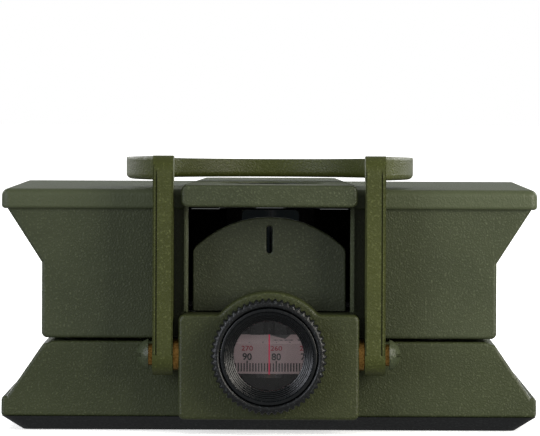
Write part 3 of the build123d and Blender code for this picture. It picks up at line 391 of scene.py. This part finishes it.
def turnedMetal(name, look):
    material, tree, shader = newMaterial(name, {"Metallic": 1.0})
    place = addNode(tree, "ShaderNodeTexCoord").outputs["Object"]
    grain = addNode(
        tree, "ShaderNodeTexNoise", {"Vector": place}, {"Scale": 1000 / look["grainMm"], "Detail": 3.0}
    )
    blend = addNode(
        tree, "ShaderNodeMapRange", {"Value": grain.outputs["Fac"]}, {"From Min": 0.4, "From Max": 0.7}
    )
    colour = addNode(
        tree, "ShaderNodeMix", {0: blend.outputs["Result"]},
        {6: hexColour(look["colour"]), 7: hexColour(look["tarnish"])}, data_type="RGBA",
    )
    gloss = addNode(
        tree, "ShaderNodeMapRange", {"Value": grain.outputs["Fac"]},
        {"To Min": look["roughness"] - 0.08, "To Max": look["roughness"] + 0.12},
    )
    bump = addNode(
        tree,
        "ShaderNodeBump",
        {"Height": grain.outputs["Fac"]},
        {"Strength": 0.08, "Distance": 0.02 * mm},
    )
    tree.links.new(colour.outputs[2], shader.inputs["Base Color"])
    tree.links.new(gloss.outputs["Result"], shader.inputs["Roughness"])
    tree.links.new(bump.outputs["Normal"], shader.inputs["Normal"])
    return material


# Printed film, dial enamel, ink and the ruby jewel: even colour with faint mottling, and for some a faint
# glow of their own, painted light
def printedStock(name, colour, mottle, roughness, paintedGlow=0.0):
    material, tree, shader = newMaterial(name, {"IOR": 1.5, "Roughness": roughness})
    place = addNode(tree, "ShaderNodeTexCoord").outputs["Object"]
    fibre = addNode(tree, "ShaderNodeTexNoise", {"Vector": place}, {"Scale": 1000 / 0.9, "Detail": 4.0})
    tint = addNode(
        tree, "ShaderNodeMix", {0: fibre.outputs["Fac"]},
        {6: hexColour(colour), 7: hexColour(mottle)}, data_type="RGBA",
    )
    bump = addNode(
        tree,
        "ShaderNodeBump",
        {"Height": fibre.outputs["Fac"]},
        {"Strength": 0.05, "Distance": 0.01 * mm},
    )
    tree.links.new(tint.outputs[2], shader.inputs["Base Color"])
    tree.links.new(bump.outputs["Normal"], shader.inputs["Normal"])
    # a glow in the print's own colour: painted light
    if paintedGlow:
        tree.links.new(tint.outputs[2], shader.inputs["Emission Color"])
        shader.inputs["Emission Strength"].default_value = paintedGlow
    return material


# Clear parts: polished acrylic and crown glass, with the faintest smears in the gloss
def clearGlass(name, tint, index, roughness, reflection=0.5):
    material, tree, shader = newMaterial(name, {
        "IOR": index,
        "Transmission Weight": 1.0,
        "Base Color": hexColour(tint),
        "Specular IOR Level": reflection,
    })
    place = addNode(tree, "ShaderNodeTexCoord").outputs["Object"]
    smear = addNode(tree, "ShaderNodeTexNoise", {"Vector": place}, {"Scale": 1000 / 6.0, "Detail": 4.0})
    gloss = addNode(
        tree, "ShaderNodeMapRange", {"Value": smear.outputs["Fac"]},
        {"From Min": 0.4, "From Max": 0.8, "To Min": roughness, "To Max": roughness + 0.03},
    )
    tree.links.new(gloss.outputs["Result"], shader.inputs["Roughness"])
    return material


# the lid's flange colour, lip, is a painted highlight
oliveCase = powderCoat("oliveCoatLid", {**oliveCoat, "lip": "5A6246"}, lidInside, lidLip)
# the base's coat is a shade darker than the lid's: painted shade, for the weaker light lower down
oliveBaseShaded = powderCoat(
    "oliveCoatBaseShaded", {**oliveCoat, "colour": "40472A", "cloud": "3A4125", "grainLight": "5B6342"}, baseInside
)
# lit and shaded copies of the one olive coat: the arms a little yellower, standing in for the bluish
# reflection that the lid shows more of; the block and the leaf darker, as painted shade
oliveArmsLitTone = powderCoat(
    "oliveCoatArmsLitTone", {**oliveCoat, "colour": "494F1E", "cloud": "424819", "grainLight": "646B38"}
)
oliveBlockShaded = powderCoat(
    "oliveCoatBlockShaded", {**oliveCoat, "colour": "3D4322", "cloud": "373D1E", "grainLight": "585F38"}
)
oliveLeafShaded = powderCoat(
    "oliveCoatLeafShaded", {**oliveCoat, "colour": "3F4530", "cloud": "393F2A", "grainLight": "5A6147"}
)
oliveScrew = powderCoat(
    "oliveCoatScrew", {**oliveCoat, "colour": "4A5238", "cloud": "414931", "roughness": 0.4}
)
anodised = grainedBlack("blackAnodisedBlasted", blackAnodised)
turnedBlack = grainedBlack("blackAnodisedTurned", blackTurned)
nylonBlack = grainedBlack("mouldedNylonCover", mouldedNylon)
rubberBlack = grainedBlack("nitrileSeal", {**mouldedNylon, "colour": "101010", "roughness": 0.7})
brass = turnedMetal("turnedBrass", metalLooks["turnedBrass"])
steel = turnedMetal("stainlessSteel", metalLooks["stainlessSteel"])
magnetSteel = turnedMetal("groundMagnet", metalLooks["groundMagnet"])
# the card, its red figures and the hairline are given a glow of their own, though none is a lamp: painted
# light, strongest on the hairline
cardStock = printedStock("cardFilm", "E6D2D4", "DDC6CA", 0.6, 0.03)
dialStock = printedStock("dialEnamel", "E3E2DA", "D8D7CE", 0.45)
inkBlack = printedStock("inkBlack", "17181A", "1E1F21", 0.5)
inkRed = printedStock("inkRed", "B8203F", "AD1B38", 0.5, 0.06)
inkWhite = printedStock("inkWhite", "DADBD2", "CFD0C6", 0.5)
hairRedGlowing = printedStock("hairlineRedGlowing", "D61F52", "C81A49", 0.4, 0.45)
jewelRuby = printedStock("jewelRuby", "8A1B2B", "781525", 0.15)


def belowHeight(tree, height):
    # 1 below the height, 0 above it
    place = addNode(tree, "ShaderNodeTexCoord").outputs["Object"]
    axes = addNode(tree, "ShaderNodeSeparateXYZ", {"Vector": place})
    return addNode(
        tree, "ShaderNodeMath", {0: axes.outputs["Z"]}, {1: height}, operation="LESS_THAN"
    ).outputs[0]


# Mirror silvered on its lower face: a bright reflection there, flat black paint on the back and the edge
mirrorLook = {
    "silverDepth": 0.05,
    "silver": "E6EAE8",
    "silverRoughness": 0.02,
    "back": "0A0B0B",
    "backRoughness": 0.7,
}
silverGlass, silverTree, silverShader = newMaterial("silveredGlass", {"IOR": 1.5})
silvered = belowHeight(silverTree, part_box("lid_mirror")[0].z + mirrorLook["silverDepth"] * mm)
silverTint = addNode(
    silverTree, "ShaderNodeMix", {0: silvered},
    {6: hexColour(mirrorLook["back"]), 7: hexColour(mirrorLook["silver"])}, data_type="RGBA",
)
silverGloss = addNode(
    silverTree, "ShaderNodeMapRange", {"Value": silvered},
    {"To Min": mirrorLook["backRoughness"], "To Max": mirrorLook["silverRoughness"]},
)
silverTree.links.new(silverTint.outputs[2], silverShader.inputs["Base Color"])
silverTree.links.new(silverGloss.outputs["Result"], silverShader.inputs["Roughness"])
silverTree.links.new(silvered, silverShader.inputs["Metallic"])

acrylic = clearGlass("clearAcrylic", "F4F7F5", 1.49, 0.01)

# Cup of the capsule: clear acrylic, its lower part painted dark brown outside, which hides the floor
cupLook = {
    "belowRim": 0.4,
    "clear": "F4F7F5",
    "clearRoughness": 0.01,
    "paint": "3D3833",
    "paintRoughness": 0.5,
    "reflection": 0.15,
}
cupAcrylic, cupTree, cupShader = newMaterial("paintedAcrylicCup", {
    "IOR": 1.49,
    "Specular IOR Level": cupLook["reflection"],
})
painted = belowHeight(cupTree, rimBottom - cupLook["belowRim"] * mm)
cupTint = addNode(
    cupTree, "ShaderNodeMix", {0: painted},
    {6: hexColour(cupLook["clear"]), 7: hexColour(cupLook["paint"])}, data_type="RGBA",
)
cupClear = addNode(cupTree, "ShaderNodeMapRange", {"Value": painted}, {"To Min": 1.0, "To Max": 0.0})
cupGloss = addNode(
    cupTree, "ShaderNodeMapRange", {"Value": painted},
    {"To Min": cupLook["clearRoughness"], "To Max": cupLook["paintRoughness"]},
)
cupTree.links.new(cupTint.outputs[2], cupShader.inputs["Base Color"])
cupTree.links.new(cupClear.outputs["Result"], cupShader.inputs["Transmission Weight"])
cupTree.links.new(cupGloss.outputs["Result"], cupShader.inputs["Roughness"])
windowGlass = clearGlass("windowGlass", "F1F6F3", 1.50, 0.008)
# Dark pane of the front sight, painted shade: dark so that the slit of the leaf reads as a dark line
shadedSightPane = clearGlass("shadedSightPaneGlass", "23282A", 1.50, 0.05)
# Coated crown glass: hardly any reflection, so that the figures keep their contrast
lensGlass = clearGlass("crownLens", "FFFFFF", 1.50, 0.0, 0.08)
print("materials made:", len(bpy.data.materials))


# Finishes of the pieces that keep their machined shape
dress(oliveCase, "lid_case")
dress(oliveBaseShaded, "base_case")
dress(oliveBlockShaded, "front_block")
dress(oliveLeafShaded, "sight_leaf")
dress(oliveArmsLitTone, "thumb_loop")
dress(oliveScrew, "loop_screw_left", "loop_screw_right")
dress(nylonBlack, "bottom_cover")
dress(anodised, "azimuth_ring", "front_sight_frame", "top_window_ring", "level_cup")
dress(turnedBlack, "capsule_retainer", "clinometer_pendulum")
dress(rubberBlack, "capsule_seal")
dress(brass, "loop_bush_left", "loop_bush_right", "card_pivot_pin", "clinometer_pin")
dress(magnetSteel, "card_magnet_left", "card_magnet_right")
dress(
    steel, "hinge_pin", "leaf_pin", "hinge_washer_left", "hinge_washer_right",
    "click_spring", "focus_washer", "sight_wire", "block_screw_left", "block_screw_right",
    *[f"bottom_cover_screw_{n}" for n in range(1, 5)],
    *[f"retainer_screw_{n}" for n in range(1, 4)],
    *[f"mirror_clip_{n}" for n in range(1, 5)],
)
dress(cardStock, "compass_card")
dress(dialStock, "clinometer_dial")
dress(jewelRuby, "card_jewel")
dress(hairRedGlowing, "lubber_line")
dress(silverGlass, "lid_mirror")
dress(cupAcrylic, "capsule_cup")
dress(acrylic, "capsule_glass")
dress(windowGlass, "top_window", "clinometer_window", "level_vial")
dress(shadedSightPane, "front_sight_glass")
clearNodes = ("capsule_glass", "top_window", "front_sight_glass", "clinometer_window", "level_vial")
for name in clearNodes:
    nodes[name].visible_shadow = False

print("machined pieces dressed")


# Turned pieces of the eyepiece
def turned(name, profile, steps, closed=True, wave=None, smoothAngle=30):
    # the profile's points are (radius, y) in mm round the eyepiece's axis; wave ripples the outer radius
    bm = bmesh.new()
    verts = [bm.verts.new((radius * mm, along * mm, opticalZ)) for radius, along in profile]
    edges = [bm.edges.new(pair) for pair in zip(verts, verts[1:])]
    if closed:
        edges.append(bm.edges.new((verts[-1], verts[0])))
    bmesh.ops.spin(
        bm, geom=verts + edges, cent=(0, 0, opticalZ), axis=(0, 1, 0),
        angle=2 * math.pi, steps=steps, use_merge=True,
    )
    bmesh.ops.remove_doubles(bm, verts=bm.verts, dist=1e-6)
    for vert in bm.verts if wave else ():
        across, up = vert.co.x, vert.co.z - opticalZ
        radius = math.hypot(across, up)
        factor = wave(math.atan2(up, across), radius / mm) * mm / radius
        vert.co = (across * factor, vert.co.y, opticalZ + up * factor)
    return meshFrom(bm, name, smoothAngle)


focusLook = {"bore": 7.12, "neck": 7.85, "edgeBand": 0.35}  # mm
knurl = {"teeth": 56, "depth": 0.20, "stepsPerTooth": 8}  # half height of a tooth, mm
ringFront = focusLow.y / mm
ringBack = focusHigh.y / mm
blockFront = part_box("front_block")[0].y / mm
outer = focusHigh.x / mm - knurl["depth"]


def knurlWave(angle, radius):
    # full depth on the outer band, fading out over the edge band
    band = focusLook["edgeBand"]
    if radius < outer - band:
        return radius
    share = min(1.0, max(0.0, (radius - outer + band) / band))
    return radius + share * knurl["depth"] * math.cos(knurl["teeth"] * angle)


focusProfile = [
    (focusLook["bore"], ringFront + 0.25),
    (7.3, ringFront + 0.03),
    (7.45, ringFront),
    (outer - 0.6, ringFront),
    (outer - 0.38, ringFront + 0.05),
    (outer - 0.12, ringFront + 0.25),
    (outer, ringFront + 0.55),
    (outer, blockFront - 0.8),
    (outer - 0.12, blockFront - 0.5),
    (outer - 0.5, blockFront - 0.32),
    (focusLook["neck"], blockFront - 0.3),
    (focusLook["neck"], ringBack),
    (focusLook["bore"], ringBack),
]
focusMesh = turned("focusRing", focusProfile, knurl["teeth"] * knurl["stepsPerTooth"], True, knurlWave, 40)
focusPiece = newPiece("focusRing", focusMesh, "focus", anodised)
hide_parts("focus_ring")

# the barrel's mouth: a rolled lip, then narrow steps down to the lens
barrelFront = barrelLow.y / mm
barrelBack = barrelHigh.y / mm
lensFront = lensLow.y / mm
lensBack = lensHigh.y / mm
mouthSteps = {"count": 5, "fromRadius": 6.25, "toRadius": 5.05, "lip": 0.12}
barrelLook = {"outer": 7.0, "lensSeat": 5.9, "bore": 5.4}  # radii, mm
barrelProfile = [
    (barrelLook["outer"], barrelBack),
    (barrelLook["outer"], barrelFront + 0.2),
    (6.92, barrelFront + 0.05),
    (6.8, barrelFront),
    (6.55, barrelFront + 0.02),
    (6.42, barrelFront + 0.15),
    (6.36, barrelFront + 0.4),
]
stepDrop = (mouthSteps["fromRadius"] - mouthSteps["toRadius"]) / mouthSteps["count"]
stepRun = (lensFront - barrelFront - 0.35) / mouthSteps["count"]
for step in range(mouthSteps["count"]):
    radius = mouthSteps["fromRadius"] - step * stepDrop
    along = barrelFront + 0.45 + step * stepRun
    barrelProfile += [
        (radius, along),
        (radius - 0.06, along - mouthSteps["lip"] * 0.5),
        (radius - stepDrop + 0.05, along),
        (radius - stepDrop, along + stepRun * 0.8),
    ]
barrelProfile += [
    (mouthSteps["toRadius"], lensFront + 0.6),
    (barrelLook["lensSeat"], lensFront + 0.62),
    (barrelLook["lensSeat"], lensBack),
    (barrelLook["bore"], lensBack),
    (barrelLook["bore"], barrelBack),
]
barrelMesh = turned("lensBarrel", barrelProfile, 128, True, None, 35)
barrelPiece = newPiece("lensBarrel", barrelMesh, "eyepiece", turnedBlack)
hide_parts("lens_barrel", "lens_retainer")

lens = {"rimRadius": 5.88, "curve": 41.0, "rings": 12}
lensProfile = []
for ring in range(lens["rings"] + 1):
    radius = lens["rimRadius"] * ring / lens["rings"]
    sag = lens["curve"] - math.sqrt(lens["curve"] ** 2 - radius ** 2)
    lensProfile.append((radius, lensFront + sag))
lensProfile += [(lens["rimRadius"], lensBack), (0.0, lensBack)]
lensMesh = turned("eyepieceLens", lensProfile, 96, False, None, 30)
lensPiece = newPiece("eyepieceLens", lensMesh, "eyepiece", lensGlass)
lensPiece.visible_shadow = False
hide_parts("eyepiece_lens")
print("eyepiece turned")


# Printing on the card, the azimuth ring and the clinometer
def textMesh(words, height, bold=0.0):
    # the words as a flat mesh, centred in x, standing on y = 0, scaled to a height in mm
    curve = bpy.data.curves.new("figures", "FONT")
    curve.body = words
    curve.align_x = "CENTER"
    curve.resolution_u = 3
    curve.offset = bold
    holder = bpy.data.objects.new("figures", curve)
    bpy.context.scene.collection.objects.link(holder)
    bpy.context.view_layer.update()
    mesh = bpy.data.meshes.new_from_object(holder.evaluated_get(bpy.context.evaluated_depsgraph_get()))
    bpy.data.objects.remove(holder)
    low = min(v.co.y for v in mesh.vertices)
    high = max(v.co.y for v in mesh.vertices)
    middle = (min(v.co.x for v in mesh.vertices) + max(v.co.x for v in mesh.vertices)) / 2
    size = height / (high - low)
    mesh.transform(Matrix.Diagonal((size, size, 1, 1)) @ Matrix.Translation((-middle, -low, 0)))
    return mesh


def addPrint(bm, mesh, mapper, slide=(0.0, 0.0), wide=1.0):
    before = len(bm.verts)
    bm.from_mesh(mesh)
    bm.verts.ensure_lookup_table()
    for vert in bm.verts[before:]:
        vert.co = mapper(vert.co.x * wide + slide[0], vert.co.y + slide[1])


def tickMesh(width, height):
    bm = bmesh.new()
    bmesh.ops.create_grid(bm, x_segments=1, y_segments=1, size=0.5)
    bmesh.ops.scale(bm, vec=(width, height, 1), verts=bm.verts)
    bmesh.ops.translate(bm, vec=(0, height / 2, 0), verts=bm.verts)
    mesh = bpy.data.meshes.new("tick")
    bm.to_mesh(mesh)
    bm.free()
    return mesh


rimPrint = {
    "reading": 82.4,  # degrees under the hairline
    "lift": 0.02,
    "tickBottom": 0.25,
    "tickHeight": 0.92,
    "longTick": 1.18,
    "tickWidth": 0.135,
    "blackBottom": 1.48,
    "blackHeight": 0.78,
    "blackBold": 0.022,
    "redBottom": 2.52,
    "redHeight": 0.54,
    "redBold": 0.016,
    "redWide": 1.15,
}


def onRim(bearing):
    # u runs to the right round the rim from the bearing, v up from the rim's lower edge
    radius = cardRadius / mm + rimPrint["lift"]

    def mapper(u, v):
        angle = math.radians(rimPrint["reading"] - bearing) + u / radius
        return (radius * mm * math.sin(angle), -radius * mm * math.cos(angle), rimBottom + v * mm)

    return mapper


rimBlack = bmesh.new()
rimRed = bmesh.new()
shortTick = tickMesh(rimPrint["tickWidth"], rimPrint["tickHeight"])
tallTick = tickMesh(rimPrint["tickWidth"], rimPrint["longTick"])
for bearing in range(360):
    addPrint(
        rimBlack,
        tallTick if bearing % 10 == 0 else shortTick,
        onRim(bearing),
        (0, rimPrint["tickBottom"]),
    )
for bearing in range(0, 360, 10):
    figures = textMesh(str(bearing), rimPrint["blackHeight"], rimPrint["blackBold"])
    addPrint(rimBlack, figures, onRim(bearing), (0, rimPrint["blackBottom"]))
    opposite = textMesh(str((bearing + 180) % 360), rimPrint["redHeight"], rimPrint["redBold"])
    addPrint(rimRed, opposite, onRim(bearing), (0, rimPrint["redBottom"]), wide=rimPrint["redWide"])
newPiece("cardRimFiguresBlack", meshFrom(rimBlack, "cardRimFiguresBlack"), "card", inkBlack)
newPiece("cardRimFiguresRed", meshFrom(rimRed, "cardRimFiguresRed"), "card", inkRed)


def onTop(height, bearing):
    # u across and v outwards along the bearing, on a level face
    angle = math.radians(bearing)

    def mapper(u, v):
        x = v * math.sin(angle) + u * math.cos(angle)
        y = v * math.cos(angle) - u * math.sin(angle)
        return (x * mm, y * mm, height)

    return mapper


inkLift = {"plate": 0.015, "scale": 0.012}  # ink above the face it is printed on, mm
bossRise = 0.2  # the boss round the jewel stands this far above the card's plate, mm
rosePrint = {
    "turn": rimPrint["reading"] - 90,  # the rose turns with the rim's figures
    "tickOuter": 15.9,
    "shortTick": 0.9,
    "longTick": 1.6,
    "longDrop": 0.7,
    "tickWidth": 0.12,
    "figureHeight": 1.5,
    "figureRadius": 12.4,
    "needle": ((0, 11.6), (-1.7, 3.4), (1.7, 3.4)),
}
plateTop = cardHigh.z - (bossRise - inkLift["plate"]) * mm
rose = bmesh.new()
roseRed = bmesh.new()
for bearing in range(0, 360, 5):
    isLong = bearing % 10 == 0
    tick = tickMesh(rosePrint["tickWidth"], rosePrint["longTick"] if isLong else rosePrint["shortTick"])
    start = rosePrint["tickOuter"] - (rosePrint["longDrop"] if isLong else 0)
    addPrint(rose, tick, onTop(plateTop, bearing + rosePrint["turn"]), (0, start))
for bearing in range(0, 360, 30):
    figures = textMesh(str(bearing), rosePrint["figureHeight"], 0.01)
    addPrint(rose, figures, onTop(plateTop, bearing + rosePrint["turn"]), (0, rosePrint["figureRadius"]))
needle = bmesh.new()
bmesh.ops.create_circle(needle, cap_ends=True, segments=3, radius=1.0)
for vert, spot in zip(list(needle.verts), rosePrint["needle"]):
    vert.co = (spot[0], spot[1], 0)
bmesh.ops.recalc_face_normals(needle, faces=needle.faces)
needleMesh = bpy.data.meshes.new("needle")
needle.to_mesh(needleMesh)
needle.free()
addPrint(roseRed, needleMesh, onTop(plateTop, rosePrint["turn"]))
addPrint(rose, needleMesh, onTop(plateTop, 180 + rosePrint["turn"]))
newPiece("cardRose", meshFrom(rose, "cardRose"), "card", inkBlack)
newPiece("cardRoseNorth", meshFrom(roseRed, "cardRoseNorth"), "card", inkRed)

ringScale = {"inner": 25.45, "long": 1.2, "short": 0.7, "tickWidth": 0.1}
azimuth = bmesh.new()
ringTop = ringHigh.z + inkLift["scale"] * mm
for bearing in range(0, 360, 2):
    tick = tickMesh(ringScale["tickWidth"], ringScale["long"] if bearing % 10 == 0 else ringScale["short"])
    addPrint(azimuth, tick, onTop(ringTop, bearing), (0, ringScale["inner"]))
newPiece("azimuthScale", meshFrom(azimuth, "azimuthScale"), "ring", inkWhite)

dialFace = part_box("clinometer_dial")[0].z - inkLift["scale"] * mm
dialPrint = {
    "outer": 15.6,
    "long": 1.6,
    "short": 0.8,
    "tickWidth": 0.14,
    "figureHeight": 1.7,
    "figureRadius": 11.6,
}
clinometer = bmesh.new()
for bearing in range(-90, 91, 2):
    length = dialPrint["long"] if bearing % 10 == 0 else dialPrint["short"]
    tick = tickMesh(dialPrint["tickWidth"], length)
    addPrint(clinometer, tick, onTop(dialFace, bearing), (0, dialPrint["outer"] - length))
for bearing in range(-90, 91, 30):
    figures = textMesh(str(abs(bearing)), dialPrint["figureHeight"], 0.01)
    addPrint(clinometer, figures, onTop(dialFace, bearing), (0, dialPrint["figureRadius"]))
for vert in clinometer.verts:
    vert.co.y = -vert.co.y
newPiece("clinometerScale", meshFrom(clinometer, "clinometerScale"), "base", inkBlack)
print("scales printed")


# Bubble of the level
vialLow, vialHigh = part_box("level_vial")
vialMiddle = (vialLow + vialHigh) / 2
bubbleShape = {"radius": 1.1, "halfHeight": 0.45, "below": 0.75}  # mm, below the vial's top
bubble = bmesh.new()
bmesh.ops.create_uvsphere(bubble, u_segments=24, v_segments=12, radius=1.0)
bubbleScale = [bubbleShape[key] * mm for key in ("radius", "radius", "halfHeight")]
bmesh.ops.scale(bubble, vec=bubbleScale, verts=bubble.verts)
bmesh.ops.translate(
    bubble, vec=(vialMiddle.x, vialMiddle.y, vialHigh.z - bubbleShape["below"] * mm), verts=bubble.verts
)
levelFluid = newMaterial("levelFluid", {
    "Base Color": hexColour("B7D36A"),
    "Roughness": 0.08,
    "IOR": 1.36,
    "Coat Weight": 0.6,
})[0]
newPiece("levelBubble", meshFrom(bubble, "levelBubble", 60), "base", levelFluid)
print("level filled")


# Floor, light and camera
floorLook = {"halfSize": 6.0, "below": 0.02, "colour": "F2F2F0", "glow": 0.62}  # m, mm below the feet
floorBm = bmesh.new()
bmesh.ops.create_grid(floorBm, x_segments=1, y_segments=1, size=floorLook["halfSize"])
bmesh.ops.translate(floorBm, vec=(0, 0, -floorLook["below"] * mm), verts=floorBm.verts)
floorMesh = bpy.data.meshes.new("floor")
floorBm.to_mesh(floorMesh)
floorBm.free()
floor = bpy.data.objects.new("floor", floorMesh)
bpy.context.scene.collection.objects.link(floor)
floorPaint = newMaterial("floorPaper", {
    "Base Color": hexColour(floorLook["colour"]),
    "Roughness": 0.9,
    "Specular IOR Level": 0.0,
    "Emission Color": (1.0, 1.0, 1.0, 1.0),
    "Emission Strength": floorLook["glow"],
})[0]
floorMesh.materials.append(floorPaint)
floor.visible_diffuse = False
floor.visible_glossy = False
floor.visible_transmission = False

studio = {
    "sky": 0.22,
    "aim": (0, 0, 0.02),
    "key": {"place": (0.155, -0.145, 0.075), "size": (0.12, 0.12), "power": 0.29, "colour": "FFFAF0"},
    "fill": {"place": (-0.75, -0.70, 0.30), "size": (0.6, 0.6), "power": 4.6, "colour": "F2F5FF"},
    "rearRight": {"place": (0.80, 0.70, 0.45), "size": (0.6, 0.6), "power": 7.0, "colour": "FFFFFF"},
    "rearLeft": {"place": (-0.70, 0.90, 0.45), "size": (0.6, 0.6), "power": 6.0, "colour": "FFFFFF"},
    "sheen": {"place": (0.0, 1.60, 0.16), "size": (2.2, 0.30), "power": 1.6, "colour": "F6FAFF"},
    "floorSun": {"strength": 2.2, "angle": 70},
    "card": {
        "place": (0.002, -0.040, 0.030),
        "aim": (0, -0.014, 0.010),
        "size": (0.02, 0.02),
        "power": 0.0036,
        "colour": "FFF2F2",
    },
}
world = bpy.data.worlds.new("studio")
bpy.context.scene.world = world
world.use_nodes = True
worldTree = world.node_tree
worldTree.nodes.clear()
seen = addNode(worldTree, "ShaderNodeLightPath")
strength = addNode(
    worldTree, "ShaderNodeMapRange", {"Value": seen.outputs["Is Camera Ray"]},
    {"To Min": studio["sky"], "To Max": 1.0},
)
sky = addNode(
    worldTree, "ShaderNodeBackground", {"Strength": strength.outputs["Result"]},
    {"Color": (1.0, 1.0, 1.0, 1.0)},
)
addNode(worldTree, "ShaderNodeOutputWorld", {"Surface": sky.outputs["Background"]})


def softbox(name, look):
    lamp = bpy.data.lights.new(name, "AREA")
    lamp.shape = "RECTANGLE"
    lamp.size, lamp.size_y = look["size"]
    lamp.energy = look["power"]
    lamp.color = hexColour(look["colour"])[:3]
    holder = bpy.data.objects.new(name, lamp)
    bpy.context.scene.collection.objects.link(holder)
    place = Vector(look["place"])
    turn = (Vector(look.get("aim", studio["aim"])) - place).to_track_quat("-Z", "Y")
    holder.matrix_world = Matrix.Translation(place) @ turn.to_matrix().to_4x4()
    holder.visible_camera = False
    return holder


for name in ("key", "fill", "rearRight", "rearLeft", "sheen"):
    softbox(name + "Softbox", studio[name])

# the floor has a lamp of its own, so that it stays white while the object keeps its contrast
floorOnly = bpy.data.collections.new("floorOnly")
floorOnly.objects.link(floor)
floorLamp = bpy.data.lights.new("floorSun", "SUN")
floorLamp.energy = studio["floorSun"]["strength"]
floorLamp.angle = math.radians(studio["floorSun"]["angle"])
floorSun = bpy.data.objects.new("floorSun", floorLamp)
bpy.context.scene.collection.objects.link(floorSun)
floorSun.light_linking.receiver_collection = floorOnly

# a small lamp over the card's front rim, which lights the card and its rim figures alone
cardLamp = softbox("cardLamp", studio["card"])
cardOnly = bpy.data.collections.new("cardOnly")
cardOnly.objects.link(nodes["compass_card"])
for name in ("cardRimFiguresBlack", "cardRimFiguresRed"):
    cardOnly.objects.link(bpy.data.objects[name])
cardLamp.light_linking.receiver_collection = cardOnly
cardLamp.light_linking.blocker_collection = cardOnly

view = {"distance": 0.774, "height": 0.050, "right": 0.002, "tilt": 1.46, "roll": 0.22, "lens": 339.3}
cameraData = bpy.data.cameras.new("camera")
cameraData.lens = view["lens"]
cameraData.sensor_width = 36.0
cameraData.clip_start = 0.01
camera = bpy.data.objects.new("camera", cameraData)
bpy.context.scene.collection.objects.link(camera)
yaw = math.atan2(view["right"], view["distance"])
camera.matrix_world = (
    Matrix.Translation((view["right"], -view["distance"], view["height"]))
    @ Matrix.Rotation(yaw, 4, "Z")
    @ Matrix.Rotation(math.radians(90 - view["tilt"]), 4, "X")
    @ Matrix.Rotation(math.radians(view["roll"]), 4, "Z")
)
bpy.context.scene.camera = camera
bpy.context.scene.view_settings.view_transform = "Standard"
print("studio set")
